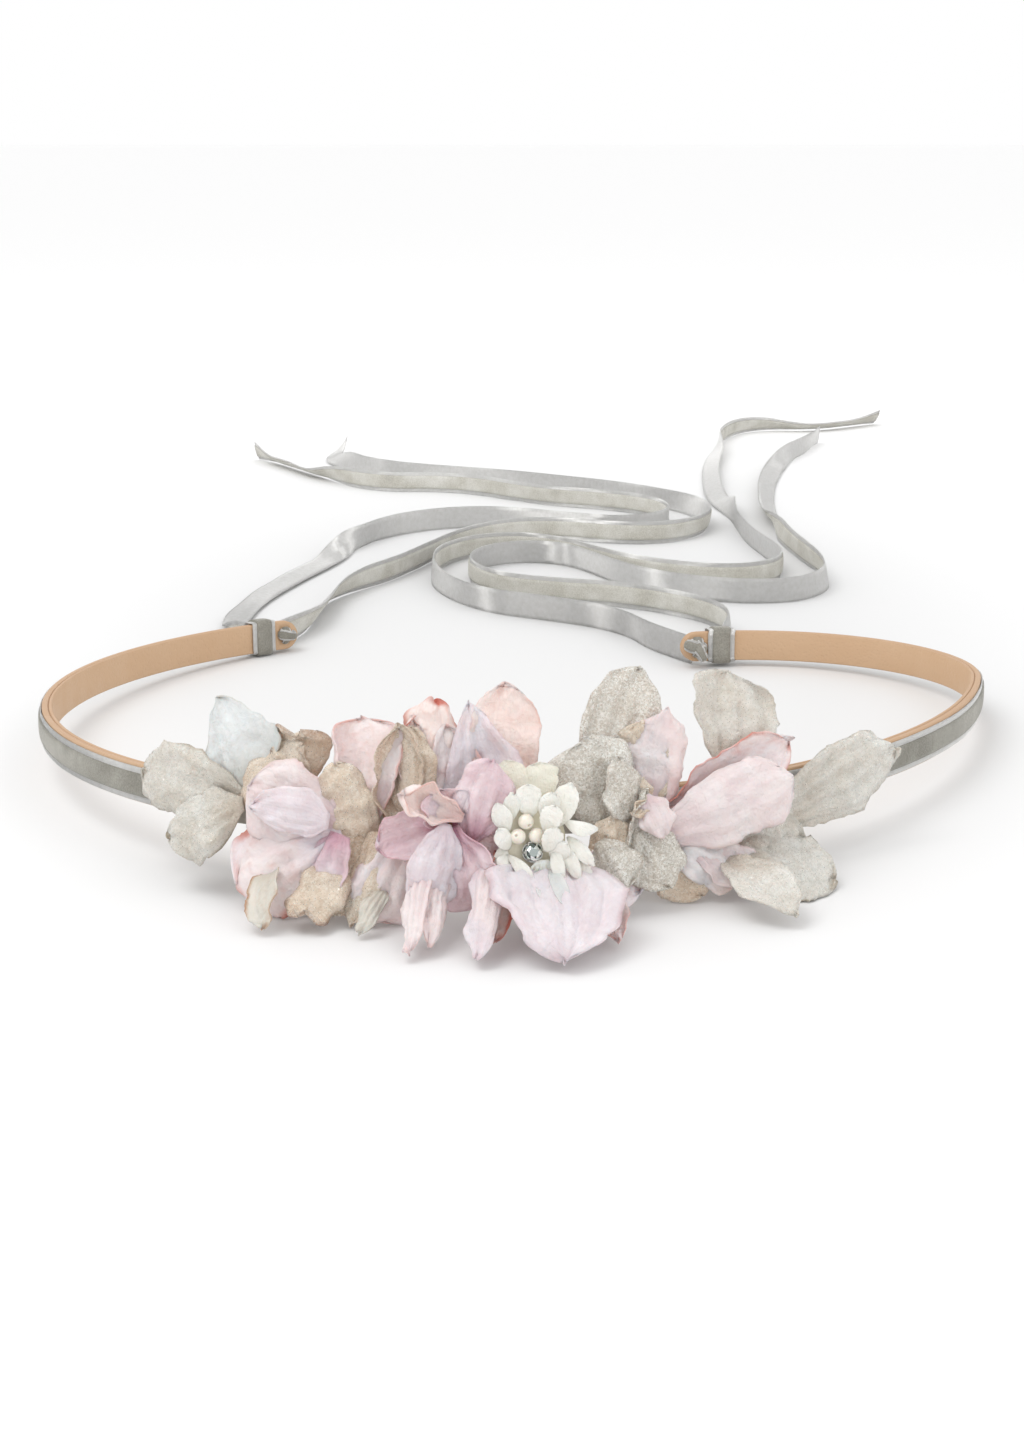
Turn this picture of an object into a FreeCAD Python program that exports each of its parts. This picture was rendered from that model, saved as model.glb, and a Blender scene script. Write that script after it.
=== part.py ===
import FreeCAD, Part
import math
import os

from FreeCAD import Vector

# A flower crown as it lies on a table: an open leather-covered spring band with a velvet ribbon on its
# outside, dried petals and a white cut flower at the front, and a pair of ribbon tails on each end.
# Units are mm. +X is the wearer's left seen from the front, +Y runs from the flowers to the open back.

# ---- band outline: arcs that follow each other, from the middle of the front to each end ----
FRONT_X, FRONT_Y = -4.5, -57.6       # middle of the band's front, on the centre of the leather
FRONT_HEADING = 4.6                  # degrees that the front is turned from +X
LEFT_ARCS = [(70.0, 54.5), (80.0, 92.5), (85.0, 57.0)]      # radius, length
RIGHT_ARCS = [(84.0, 52.0), (122.0, 78.5), (38.0, 82.0)]    # radius, length

# ---- band section ----
BAND_HEIGHT = 6.0
LEATHER_GAUGE = 0.7
CORE_GAUGE = 0.4
CORE_HEIGHT = 4.6
CORE_END_GAP = 14.0                  # from the end of the leather to the end of the spring
VELVET_WEB = 0.35                    # satin ground of the velvet
VELVET_WIDTH = 5.2
PILE_HEIGHT = 0.45
PILE_WIDTH = 3.6
PAD_GAUGE = 1.2
PAD_HEIGHT = 5.0
PAD_LEFT, PAD_RIGHT = 40.0, 44.0     # how far the felt pad reaches each way from the front's middle
FIT = 0.05                           # clearance of what is wrapped or threaded

# ---- ends ----
TAB_LENGTH = 5.6                     # bare leather beyond the wrapped ribbon
TAB_HOLE_RADIUS = 1.1
TAB_HOLE_FROM_END = 3.0
WRAP_WIDTH = 5.6
RIBBON_WIDTH = 6.0
RIBBON_GAUGE = 0.5
KNOT_RADIUS = 2.1
KNOT_DEPTH = 1.3

# ---- how the crown lies: on its two ends and its lowest petals ----
LIE_TILT = 3.15                      # degrees that the front is raised
PIVOT_Y = 88.4
TABLE_GAP = 0.5                      # lowest edge of the leather above the table

PETAL_GAUGE = 0.4
FOOT_HALF_WIDTH = 0.7
PETAL_SHOULDER = 0.62                # widest place, as a share of the petal's length
PETAL_LOWER = (0.84, 0.34)           # edge between foot and shoulder: shares of half width and length
PETAL_UPPER = (0.74, 0.87)           # edge between shoulder and tip, the same way
SHELL_SLACK = 0.62                   # smallest shell radius, as a share of the petal's diagonal
STEM_RADIUS = 0.45
RECEPTACLE_RADIUS = 1.0
SEAT = 0.15                          # how deep a stem, gem or pearl sits in what holds it

HALF_LEATHER = LEATHER_GAUGE + CORE_GAUGE / 2
VELVET_BACK = HALF_LEATHER
VELVET_FACE = VELVET_BACK + VELVET_WEB + PILE_HEIGHT
PAD_FACE = VELVET_FACE + PAD_GAUGE
LEFT_LENGTH = sum(length for radius, length in LEFT_ARCS)
RIGHT_LENGTH = sum(length for radius, length in RIGHT_ARCS)


# A petal is set out in the band's own terms. Each triple is the distance along the band from the
# front's middle (right is plus), the distance out from the pad's face, and the height above the
# band's lower edge: first its foot, then its tip. Then come its width, the turn of its face about its
# own length, and the radius that it is cupped to (minus bulges towards the viewer).
PETALS = {
    "leaf_left_upper": [((-34.6, 2, 5.2), (-54, 1.6, 7), 8.8, -12, -24)],
    "leaf_left_lower": [((-33.6, 4.6, 5.2), (-44, 6, -1.4), 8.8, 14, -24)],
    "grey_petal_left": [((-35.2, 1.2, 6.2), (-42.6, -3.6, 18.2), 12.5, -8, -54)],
    "champagne_petal_left": [
        ((-28.2, 2, 5.6), (-25.8, 0.5, 16.4), 7.2, 8, -16),
        ((-33.6, 4.2, 4.6), (-25, 2.6, 13.8), 6.6, -8, -24),
    ],
    "pink_petal_left_upper": [
        ((-19.8, 6.4, 2.6), (-31.4, 7.2, 8.4), 10.5, -4, -24),
        ((-20.6, 8.4, 4.4), (-30.4, 9, 6.4), 5.8, -18, -24),
    ],
    "pink_petal_left_lower": [
        ((-19.6, 6.6, 3), (-32, 9.6, -5.6), 12.2, 8, -24),
        ((-20, 7.6, 3), (-22.2, 11, -7), 6.2, 24, -22),
    ],
    "translucent_petal_low_left": [((-27.6, 9.6, -3), (-25.8, 17.8, -8.4), 4.2, 14, -21)],
    "champagne_curl_low": [((-19.4, 8.4, -1.6), (-22.4, 16, -8), 5.8, 10, -24)],
    "pink_petal_top_left": [((-16.6, 3.6, 3), (-18.4, -0.6, 17.6), 10.4, 0, -32)],
    "champagne_petal_top_left": [((-17.6, 5.4, -1.6), (-20.8, 4.4, 12), 6.2, 12, -24)],
    "champagne_curl_top": [
        ((-12.4, 4.4, 1.4), (-13, 1.8, 17.6), 9.2, 2, 19),
        ((-10.6, 3, 2.4), (-11.2, 1, 16.8), 5.9, -10, -21),
    ],
    "coral_petal_top": [
        ((-8.8, 0.8, 4.8), (-8.6, -3.5, 20.6), 6.6, 8, -24),
        ((-11, 1.6, 5), (-11.6, -1.6, 18), 4.5, 20, -48),
    ],
    "champagne_strip_low": [
        ((-15.2, 6.4, 3), (-17.2, 12.4, -8.6), 4.7, 22, -24),
        ((-17.6, 6, 2.4), (-19.2, 11.4, -8), 4.7, -16, -24),
    ],
    "pink_petal_low": [
        ((-10.4, 6.8, 4), (-15, 11.6, -8.4), 8.9, -10, -24),
        ((-13.6, 10.2, -4.2), (-15.6, 16.4, -8.6), 1.7, 0, -16),
    ],
    "mauve_floret": [
        ((-4.4, 11, 6.4), (-11.6, 12.4, 10.2), 7.1, 6, 12),
        ((-3.6, 10.4, 2.6), (-0.9, 9.5, 14.2), 7.1, 4, -22),
        ((-6.2, 12.2, 6), (-8.8, 15.4, -5.8), 6.4, -25, -23),
        ((-5.6, 11, 5.2), (-2.2, 12.5, -5.6), 8.2, 12, -27),
        ((-6.4, 10, 5.2), (-14.4, 10.6, 1.8), 7.1, 0, 14),
        ((-6, 9.2, 4.4), (-7.4, 9.8, 10.2), 7.1, 10, -12),
        ((-4.6, 8.4, 4.4), (0.6, 8.8, 1.6), 6.4, 10, -12),
    ],
    "pale_tails_low_left": [
        ((-8.8, 10.4, 1), (-9.6, 24, -8.4), 3, 24, -24),
        ((-6.6, 9.8, 0), (-7.8, 22, -8.2), 2.7, -24, -24),
    ],
    "lilac_petal_top": [
        ((-1.6, 2.4, 4.4), (-3.6, -2, 19.8), 10.1, -6, -46),
        ((-4.6, 1.8, 4.6), (-6.8, -1.6, 16.6), 7, 10, -36),
    ],
    "blush_petal_top": [((0.8, 0.8, 5), (1.6, -4, 22), 8.7, 2, -43)],
    "pale_tails_low_mid": [
        ((-1, 11, 1), (-3.2, 26, -8.6), 3.6, 16, -24),
        ((0.2, 9.4, 0.6), (-1.4, 20.5, -8.2), 4.2, -12, -41),
    ],
    "lilac_petal_low": [((6.2, 9, -0.8), (5, 28.5, -8.4), 14.8, 0, -38)],
    "lilac_petal_low_right": [
        ((8.6, 7.4, -1.6), (17.6, 9.6, -5.4), 6.7, 0, -24),
        ((12.2, 10, -4.6), (11.6, 22, -8.4), 4.4, 10, -36),
    ],
    "silver_leaf_tall": [((12.4, 2, 5.6), (21.6, -4.4, 23.6), 9.7, 2, -51)],
    "silver_leaf_front": [
        ((14.8, 5.2, 0.4), (11.2, 3.4, 15.2), 10.8, 0, -24),
        ((16.2, 7.6, 4.4), (14.4, 7.8, 13.4), 5.5, 20, -24),
    ],
    "champagne_fold": [
        ((15.2, 7.2, -2.6), (18.4, 7.4, 8.4), 4.2, 34, -41),
        ((13.4, 7.6, -2.6), (14.8, 7.6, 5), 4.7, -18, -22),
        ((17.2, 5.6, 3.6), (18.8, 5.2, 9.6), 3.9, 20, -13),
    ],
    "rolled_pink_petal": [
        ((20.9, 3.6, 3.6), (24.4, 1.4, 18.2), 9.7, 6, -24),
        ((19.8, 2.6, 4), (20.2, 0.6, 16.6), 5.8, -20, -24),
    ],
    "pink_curl_small": [
        ((18.2, 8.6, 8), (20.2, 10.6, 2.4), 4.7, 6, -8),
        ((19.2, 8.2, 7.2), (16.2, 9, 5.2), 2.2, 0, -11),
    ],
    "pink_petal_right_upper": [((21.6, 3.4, 2.4), (43.4, 2.2, 11.6), 8.6, -8, -57)],
    "pink_petal_right_lower": [((20.4, 6.6, 1.2), (39.4, 8, 7.8), 9.6, 0, -24)],
    "grey_petal_back_right": [((33.6, 1, 6.6), (38, -6, 20.8), 12.6, 0, -47)],
    "silver_petal_low_a": [
        ((17.6, 7.4, 3.6), (20.8, 10.4, -5.2), 7.4, 0, -18),
        ((12.2, 9, 2), (15, 11.2, -4.4), 6.2, 10, -18),
    ],
    "silver_petal_low_b": [
        ((21.4, 4.4, 1.4), (26.2, 8, -7.8), 8.2, 10, -23),
        ((22, 6, 0.4), (31.4, 8.6, -5.6), 6.4, 0, -24),
    ],
    "lavender_petal_low": [((25, 6.4, -1.4), (34, 9, -6.4), 6.2, -14, -26)],
    "leaf_right": [((41, 1.6, 0.2), (67.6, 1.8, 6.6), 9.7, 8, -24)],
    "grey_petal_right_upper": [((29.8, 3.4, 0.6), (43.4, 5.4, -2.6), 12.3, -12, -24)],
    "grey_petal_right_lower": [((33, 5.6, -1.4), (43.6, 12.4, -7.2), 11.4, -30, -24)],
    "translucent_petal_low_right": [((29.6, 7.4, -3), (31.6, 23, -7.2), 7.6, 0, -39)],
}

# Each stem runs from the pad to the middle of a floret: distance along the band, out, height.
FLORETS = [
    (-35.2, 2.4, 4.8), (-20.4, 4.6, 3.0), (-23.6, 6.4, -3.8), (-14.2, 2.4, 4.4), (-6.2, 9.0, 4.8),
    (-1.2, 1.4, 6.6), (-1.8, 7.2, -3.8), (13.2, 2.8, 4.8), (20.8, 4.4, 5.0), (33.0, 0.9, 4.2),
    (28.2, 3.2, -3.4),
]

# The white flower faces a little upwards. Places on it are right and up from its middle, in mm.
FLOWER_ALONG, FLOWER_OUT, FLOWER_UP = 3.6, 9.8, 3.2
FLOWER_LEAN = 12.0                   # degrees that its face leans back
FLOWER_DISC_RADIUS = 4.6
FLOWER_DISC_GAUGE = 0.8
PEARL_RADIUS = 1.1
PEARLS = [(-0.9, 2.3), (-2.05, 0.3), (0.5, 0.3)]
STONE_RADIUS = 1.25
STONE_AT = (-0.1, -1.9)
CLAW_WALL = 0.3
CUP_HEIGHT = 1.6
CUP_FLOOR = 0.3
CUP_FOOT, HOLLOW_FOOT = 0.6, 0.45    # radii at the bottom, as shares of the stone's
PAVILION_HEIGHT, CROWN_HEIGHT = 1.2, 0.6
CULET, TABLE_FACET = 0.4, 0.6        # stone's bottom and top, as shares of its radius
# Each white petal: foot and tip as (right, up, forward), width, turn of its face, cup radius.
WHITE_PETALS = {
    "white_oval_petals": [
        ((3.3, 1.4, 1.5), (5.4, 7.4, 2.6), 2.9, -14, -12),
        ((1.7, 2.6, 1.5), (2.7, 6.2, 3), 2.4, 10, -12),
        ((1.7, 0.8, 2.6), (2.9, 4.4, 4), 2.4, -18, -12),
        ((1.6, -1.8, 2.6), (3, 1.4, 3.9), 2.3, 16, -12),
        ((-0.3, 2.9, 1.2), (-0.6, 7.4, 2.8), 2.8, -8, -12),
        ((2.4, -2.6, 1.8), (4.5, -0.9, 3.4), 2.2, 0, -12),
    ],
    "white_finger_petals": [
        ((2.9, -1, 1.8), (3.7, -6.4, 3.3), 1.5, 18, -12),
        ((3.9, -0.7, 1.8), (6.2, -5.8, 3), 1.7, 12, -12),
        ((4.8, 0, 1.7), (8.2, -4, 2.5), 1.7, 0, -12),
        ((4.4, 2.2, 1.7), (8.8, 1, 2.5), 1.6, -8, -12),
        ((-3.6, -2.2, 1.6), (-0.4, -7.4, 2.8), 1.5, 0, -12),
        ((5.2, -2, 1), (7.4, -6.8, 1.8), 2.3, 0, -12),
    ],
    "white_star_petals": [
        ((-3, 2.4, 1.5), (-2.9, 6.4, 2.6), 2, 16, -12),
        ((-3.4, 1, 1.7), (-5, 5, 3), 2.2, -14, -12),
        ((-3.3, -1.4, 1.7), (-5, 1.4, 2.9), 2, 14, -12),
        ((-3.6, -2.4, 1.7), (-4.9, -4, 2.7), 1.8, -10, -12),
        ((-4, -0.8, 1), (-5, -6.4, 1.7), 2, 0, -12),
    ],
    "ivory_back_petals": [
        ((-1.7, 3.8, -0.6), (-3.2, 10.6, -1), 3.8, 0, 14),
        ((1.9, 3.8, -0.9), (1.6, 10.2, -1.4), 3.8, 0, 14),
    ],
    "translucent_finger_petals": [
        ((0.5, -4, 0.4), (0.9, -9.6, 9.4), 1.6, 0, 14),
        ((2.4, -3.8, 0.4), (3.6, -9.2, 9.4), 1.8, 0, 14),
    ],
}
THREAD_FAN = ((1.0, -3.2, 1.3), (1.4, -6.2, 2.6), 4.2)

# Ribbon tails on the table, from the crown's end to the cut tip. Each stands on its edge.
TAIL_FLOOR = 0.1
TAILS = {
    "left_tail_outer": [
        (-56, 84.1), (-61.5, 95), (-64, 111), (-62.5, 130), (-57, 152), (-50, 174), (-44, 196),
        (-36, 215), (-21, 228), (-3, 229), (12, 221), (26, 214), (38, 219), (43, 232), (38, 247),
        (26, 257), (10, 263), (-2, 273), (-13, 284), (-26, 289), (-39, 288), (-51, 296), (-62, 310),
        (-74, 330), (-88, 354)],
    "left_tail_inner": [
        (-51.8, 87.6), (-48.5, 96), (-45.5, 106), (-45, 119), (-44, 132), (-39, 145), (-31, 158),
        (-25, 173), (-19.5, 188), (-12, 202), (0, 212), (13, 211), (26, 204.5), (39, 205), (49.5, 215),
        (54, 231), (50, 248), (40, 262), (27, 274), (11, 285), (-5, 295), (-21, 301), (-36, 309),
        (-49, 321), (-58, 336), (-63, 353), (-60, 370)],
    "right_tail_outer": [
        (40.6, 75.9), (43, 86), (46, 98), (43, 110), (34, 121), (22, 129), (9, 133), (-3, 138),
        (-11, 149), (-13, 163), (-8, 175), (2, 180), (12, 176), (18, 165), (24, 153), (32, 142),
        (42, 135), (54, 131), (66, 134), (74, 146), (75, 163), (72, 184), (70, 208), (70.5, 236),
        (73, 266), (77, 296), (83, 326), (91, 351), (100, 371), (107, 393)],
    "right_tail_inner": [
        (35, 74.8), (31, 81), (26.5, 89), (23, 99), (15, 108), (4, 115), (-7, 121), (-15, 132),
        (-20.5, 147), (-22, 162), (-19, 177), (-11, 188), (0, 191), (11, 185), (19, 172), (27, 160.5),
        (38, 152), (50, 148), (61, 153), (66, 166), (64, 182), (61, 200), (60, 221), (61, 245),
        (59, 272), (60, 300), (63, 332), (68, 363), (72, 393), (80, 415), (92, 424), (106, 421),
        (120, 427), (136, 442)],
}


def band_place(along):
    """Point on the leather's centre line and outward direction, at a distance from the front's middle."""
    side = 1 if along >= 0 else -1
    heading = math.radians(FRONT_HEADING if side > 0 else FRONT_HEADING + 180)
    point = Vector(FRONT_X, FRONT_Y, 0)
    left = abs(along)
    arcs = RIGHT_ARCS if side > 0 else LEFT_ARCS
    for number, (radius, length) in enumerate(arcs):
        step = left if number == len(arcs) - 1 else min(left, length)
        turn = side * step / radius
        chord = 2 * radius * math.sin(abs(turn) / 2)
        middle = heading + turn / 2
        point = point + Vector(math.cos(middle), math.sin(middle), 0) * chord
        heading += turn
        left -= step
        if left <= 0:
            break
    outward = Vector(math.sin(heading), -math.cos(heading), 0) * side
    return point, outward


def band_point(along, out, up):
    point, outward = band_place(along)
    return point + outward * out + Vector(0, 0, up)


def span_joints(start, end):
    """Places along the band where one arc hands over to the next, between start and end."""
    marks = [0.0]
    travelled = 0.0
    for radius, length in RIGHT_ARCS[:-1]:
        travelled += length
        marks.append(travelled)
    travelled = 0.0
    for radius, length in LEFT_ARCS[:-1]:
        travelled += length
        marks.append(-travelled)
    inside = [mark for mark in marks if start < mark < end]
    return sorted([start, end] + inside)


def band_strip(start, end, inner, outer, low, high):
    """A strip that follows the band between two offsets from the leather's centre line."""
    marks = span_joints(start, end)
    edges = []
    for first, second in zip(marks, marks[1:]):
        stations = (first, (first + second) / 2, second)
        edges.append(Part.Arc(*[band_point(s, outer, low) for s in stations]).toShape())
    edges.append(Part.LineSegment(band_point(end, outer, low), band_point(end, inner, low)).toShape())
    for second, first in zip(marks[::-1], marks[-2::-1]):
        stations = (second, (first + second) / 2, first)
        edges.append(Part.Arc(*[band_point(s, inner, low) for s in stations]).toShape())
    edges.append(Part.LineSegment(band_point(start, inner, low), band_point(start, outer, low)).toShape())
    return Part.Face(Part.Wire(edges)).extrude(Vector(0, 0, high - low))


def band_frame(along, out, up):
    """Placement with X along the band, Y outward and Z up."""
    point, outward = band_place(along)
    along_band = outward.cross(Vector(0, 0, 1))
    rotation = FreeCAD.Rotation(along_band, outward, Vector(0, 0, 1), "ZXY")
    return FreeCAD.Placement(band_point(along, out, up), rotation)


def round_end(strip, along, towards):
    """Cuts the two corners off a strip's end, so that it finishes in a half circle."""
    radius = BAND_HEIGHT / 2
    thick = 4 * HALF_LEATHER
    block = Part.makeBox(2 * radius, thick, BAND_HEIGHT + 2, Vector(0, -thick / 2, -radius - 1))
    if towards > 0:
        block.translate(Vector(-2 * radius, 0, 0))
    disc = Part.makeCylinder(radius, thick, Vector(0, -thick / 2, 0), Vector(0, 1, 0))
    corner = block.cut(disc)
    corner.Placement = band_frame(along - towards * radius, 0, radius)
    return strip.cut(corner)


def tab_hole(along):
    thick = 6 * HALF_LEATHER
    hole = Part.makeCylinder(TAB_HOLE_RADIUS, thick, Vector(0, -thick / 2, 0), Vector(0, 1, 0))
    hole.Placement = band_frame(along, 0, BAND_HEIGHT / 2)
    return hole


def leather(inner, outer):
    strip = band_strip(-LEFT_LENGTH, RIGHT_LENGTH, inner, outer, 0, BAND_HEIGHT)
    strip = round_end(strip, RIGHT_LENGTH, 1)
    strip = round_end(strip, -LEFT_LENGTH, -1)
    strip = strip.cut(tab_hole(RIGHT_LENGTH - TAB_HOLE_FROM_END))
    return strip.cut(tab_hole(-LEFT_LENGTH + TAB_HOLE_FROM_END))


def spring_core(grow):
    side = (BAND_HEIGHT - CORE_HEIGHT) / 2
    return band_strip(
        -LEFT_LENGTH + CORE_END_GAP - grow, RIGHT_LENGTH - CORE_END_GAP + grow,
        -CORE_GAUGE / 2, CORE_GAUGE / 2, side - grow, BAND_HEIGHT - side + grow)


def leather_lining():
    return leather(-HALF_LEATHER, -CORE_GAUGE / 2)


def leather_cover():
    return leather(-CORE_GAUGE / 2, HALF_LEATHER).cut(spring_core(FIT))


def velvet_ribbon():
    start, end = -LEFT_LENGTH + TAB_LENGTH, RIGHT_LENGTH - TAB_LENGTH
    web_side = (BAND_HEIGHT - VELVET_WIDTH) / 2
    pile_side = (BAND_HEIGHT - PILE_WIDTH) / 2
    web_face = VELVET_BACK + VELVET_WEB
    web = band_strip(start, end, VELVET_BACK, web_face, web_side, BAND_HEIGHT - web_side)
    pile = band_strip(start, end, web_face, VELVET_FACE, pile_side, BAND_HEIGHT - pile_side)
    return web.fuse(pile).removeSplitter()


def felt_pad():
    side = (BAND_HEIGHT - PAD_HEIGHT) / 2
    return band_strip(-PAD_LEFT, PAD_RIGHT, VELVET_FACE, PAD_FACE, side, BAND_HEIGHT - side)


def tie_wrap(near_end, towards):
    """One turn of ribbon round the leather and the velvet, just before the bare tab."""
    outer_end = near_end - towards * TAB_LENGTH
    start, end = sorted([outer_end, outer_end - towards * WRAP_WIDTH])
    back, face = -HALF_LEATHER - FIT, VELVET_FACE + FIT
    low, high = -FIT, BAND_HEIGHT + FIT
    outside = band_strip(start, end, back - RIBBON_GAUGE, face + RIBBON_GAUGE,
                         low - RIBBON_GAUGE / 2, high + RIBBON_GAUGE)
    return outside.cut(band_strip(start - 1, end + 1, back, face, low, high))


def tie_knot(near_end, towards):
    """The ribbon drawn through the punched hole, with a small knot on each side of the leather."""
    shank = Part.makeCylinder(TAB_HOLE_RADIUS - FIT, 2 * HALF_LEATHER + 2 * KNOT_DEPTH,
                              Vector(0, -HALF_LEATHER - KNOT_DEPTH, 0), Vector(0, 1, 0))
    inner = Part.makeCylinder(KNOT_RADIUS, KNOT_DEPTH - FIT,
                              Vector(0, -HALF_LEATHER - KNOT_DEPTH, 0), Vector(0, 1, 0))
    outer = Part.makeCylinder(KNOT_RADIUS, KNOT_DEPTH - FIT,
                              Vector(0, HALF_LEATHER + FIT, 0), Vector(0, 1, 0))
    knot = shank.fuse([inner, outer]).removeSplitter()
    knot.Placement = band_frame(near_end - towards * TAB_HOLE_FROM_END, 0, BAND_HEIGHT / 2)
    return knot


def petal_shape(foot, tip, facing, width, turn, cup):
    """A petal's outline, cut from a thin shell that runs through its foot and its tip."""
    length = (tip - foot).Length
    lengthwise = (tip - foot).normalize()
    across = lengthwise.cross(facing).normalize()
    towards = across.cross(lengthwise).normalize()
    half = width / 2
    shoulder = PETAL_SHOULDER * length
    edges = []
    for side in (1, -1):
        foot_corner = Vector(side * FOOT_HALF_WIDTH, 0, 0)
        lower = Vector(side * PETAL_LOWER[0] * half, PETAL_LOWER[1] * length, 0)
        widest = Vector(side * half, shoulder, 0)
        upper = Vector(side * PETAL_UPPER[0] * half, PETAL_UPPER[1] * length, 0)
        edges.append(Part.Arc(foot_corner, lower, widest).toShape())
        edges.append(Part.Arc(widest, upper, Vector(0, length, 0)).toShape())
    foot_left = Vector(-FOOT_HALF_WIDTH, 0, 0)
    edges.append(Part.LineSegment(Vector(FOOT_HALF_WIDTH, 0, 0), foot_left).toShape())
    outline = Part.Face(Part.Wire(Part.__sortEdges__(edges)))
    radius = max(abs(cup), SHELL_SLACK * math.hypot(length, width))
    rise = math.sqrt(radius ** 2 - (length / 2) ** 2)
    reach = radius - math.sqrt(max(radius ** 2 - (length / 2) ** 2 - half ** 2, 0)) + 1
    prism = outline.copy()
    prism.translate(Vector(0, 0, -reach))
    prism = prism.extrude(Vector(0, 0, 2 * reach))
    centre = Vector(0, length / 2, rise)
    shell = Part.makeSphere(radius + PETAL_GAUGE / 2, centre).cut(
        Part.makeSphere(radius - PETAL_GAUGE / 2, centre))
    petal = max(prism.common(shell).Solids, key=lambda solid: solid.Volume)
    if cup < 0:
        petal = petal.mirror(Vector(0, 0, 0), Vector(0, 0, 1))
    petal.Placement = FreeCAD.Placement(
        foot, FreeCAD.Rotation(across, lengthwise, towards, "ZYX").multiply(
            FreeCAD.Rotation(Vector(0, 1, 0), turn)))
    return petal


def spray_petal(foot, tip, width, turn, cup):
    base = band_point(foot[0], PAD_FACE + foot[1], foot[2])
    end = band_point(tip[0], PAD_FACE + tip[1], tip[2])
    outward = band_place((foot[0] + tip[0]) / 2)[1]
    facing = (outward + Vector(0, 0, 0.35)).normalize()
    return petal_shape(base, end, facing, width, turn, cup)


def petal_group(rows):
    return Part.makeCompound([spray_petal(*row) for row in rows])


def floret_stems():
    """Wire-thin stems from the pad, each with the small round seat that a floret's petals grow from."""
    stems = []
    for along, out, up in FLORETS:
        root_height = min(max(up, 1.2), BAND_HEIGHT - 1.2)
        root = band_point(along, PAD_FACE - SEAT, root_height)
        head = band_point(along, PAD_FACE + out, up)
        stem = Part.makeCylinder(STEM_RADIUS, (head - root).Length, root, head - root)
        stems.append(stem.fuse(Part.makeSphere(RECEPTACLE_RADIUS, head)).removeSplitter())
    return Part.makeCompound(stems)


def flower_frame():
    """Placement of the white flower: X right, Y up its face, Z towards the viewer."""
    middle = band_point(FLOWER_ALONG, PAD_FACE + FLOWER_OUT, FLOWER_UP)
    outward = band_place(FLOWER_ALONG)[1]
    right = Vector(0, 0, 1).cross(outward)
    lean = math.radians(FLOWER_LEAN)
    forward = outward * math.cos(lean) + Vector(0, 0, 1) * math.sin(lean)
    upward = forward.cross(right)
    return FreeCAD.Placement(middle, FreeCAD.Rotation(right, upward, forward, "ZXY"))


def on_flower(shape):
    shape.Placement = flower_frame().multiply(shape.Placement)
    return shape


def flower_disc():
    """The round base that the white flower is built on, with the short post that holds it to the pad."""
    disc = Part.makeCylinder(FLOWER_DISC_RADIUS, FLOWER_DISC_GAUGE)
    disc = on_flower(disc)
    middle = flower_frame().multVec(Vector(0, 0, FLOWER_DISC_GAUGE / 2))
    root = band_point(FLOWER_ALONG, PAD_FACE - SEAT, BAND_HEIGHT / 2)
    post = Part.makeCylinder(RECEPTACLE_RADIUS, (middle - root).Length, root, middle - root)
    return disc.fuse(post).removeSplitter()


def white_petals(rows):
    shapes = []
    for foot, tip, width, turn, cup in rows:
        petal = petal_shape(Vector(*foot), Vector(*tip), Vector(0, 0, 1), width, turn, cup)
        shapes.append(on_flower(petal))
    return Part.makeCompound(shapes)


def pearls():
    height = FLOWER_DISC_GAUGE + PEARL_RADIUS - SEAT
    balls = [Part.makeSphere(PEARL_RADIUS, Vector(x, y, height)) for x, y in PEARLS]
    return Part.makeCompound([on_flower(ball) for ball in balls])


def claw_setting():
    x, y = STONE_AT
    seat = Vector(x, y, FLOWER_DISC_GAUGE)
    cup = Part.makeCone(STONE_RADIUS * CUP_FOOT, STONE_RADIUS + CLAW_WALL, CUP_HEIGHT, seat)
    floor = Vector(x, y, FLOWER_DISC_GAUGE + CUP_FLOOR)
    depth = CUP_HEIGHT - CUP_FLOOR
    hollow = Part.makeCone(STONE_RADIUS * HOLLOW_FOOT, STONE_RADIUS + FIT, depth, floor)
    return on_flower(cup.cut(hollow))


def rhinestone():
    x, y = STONE_AT
    low = Vector(x, y, FLOWER_DISC_GAUGE + CUP_FLOOR + FIT)
    girdle = low + Vector(0, 0, PAVILION_HEIGHT)
    widest = STONE_RADIUS - FIT
    pavilion = Part.makeCone(STONE_RADIUS * CULET, widest, PAVILION_HEIGHT, low)
    crown = Part.makeCone(widest, STONE_RADIUS * TABLE_FACET, CROWN_HEIGHT, girdle)
    return on_flower(pavilion.fuse(crown))


def thread_fan():
    """The short fringe of white threads below the stone."""
    foot, tip, width = THREAD_FAN
    return on_flower(petal_shape(Vector(*foot), Vector(*tip), Vector(0, 0, 1), width, 0, 14))


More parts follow.
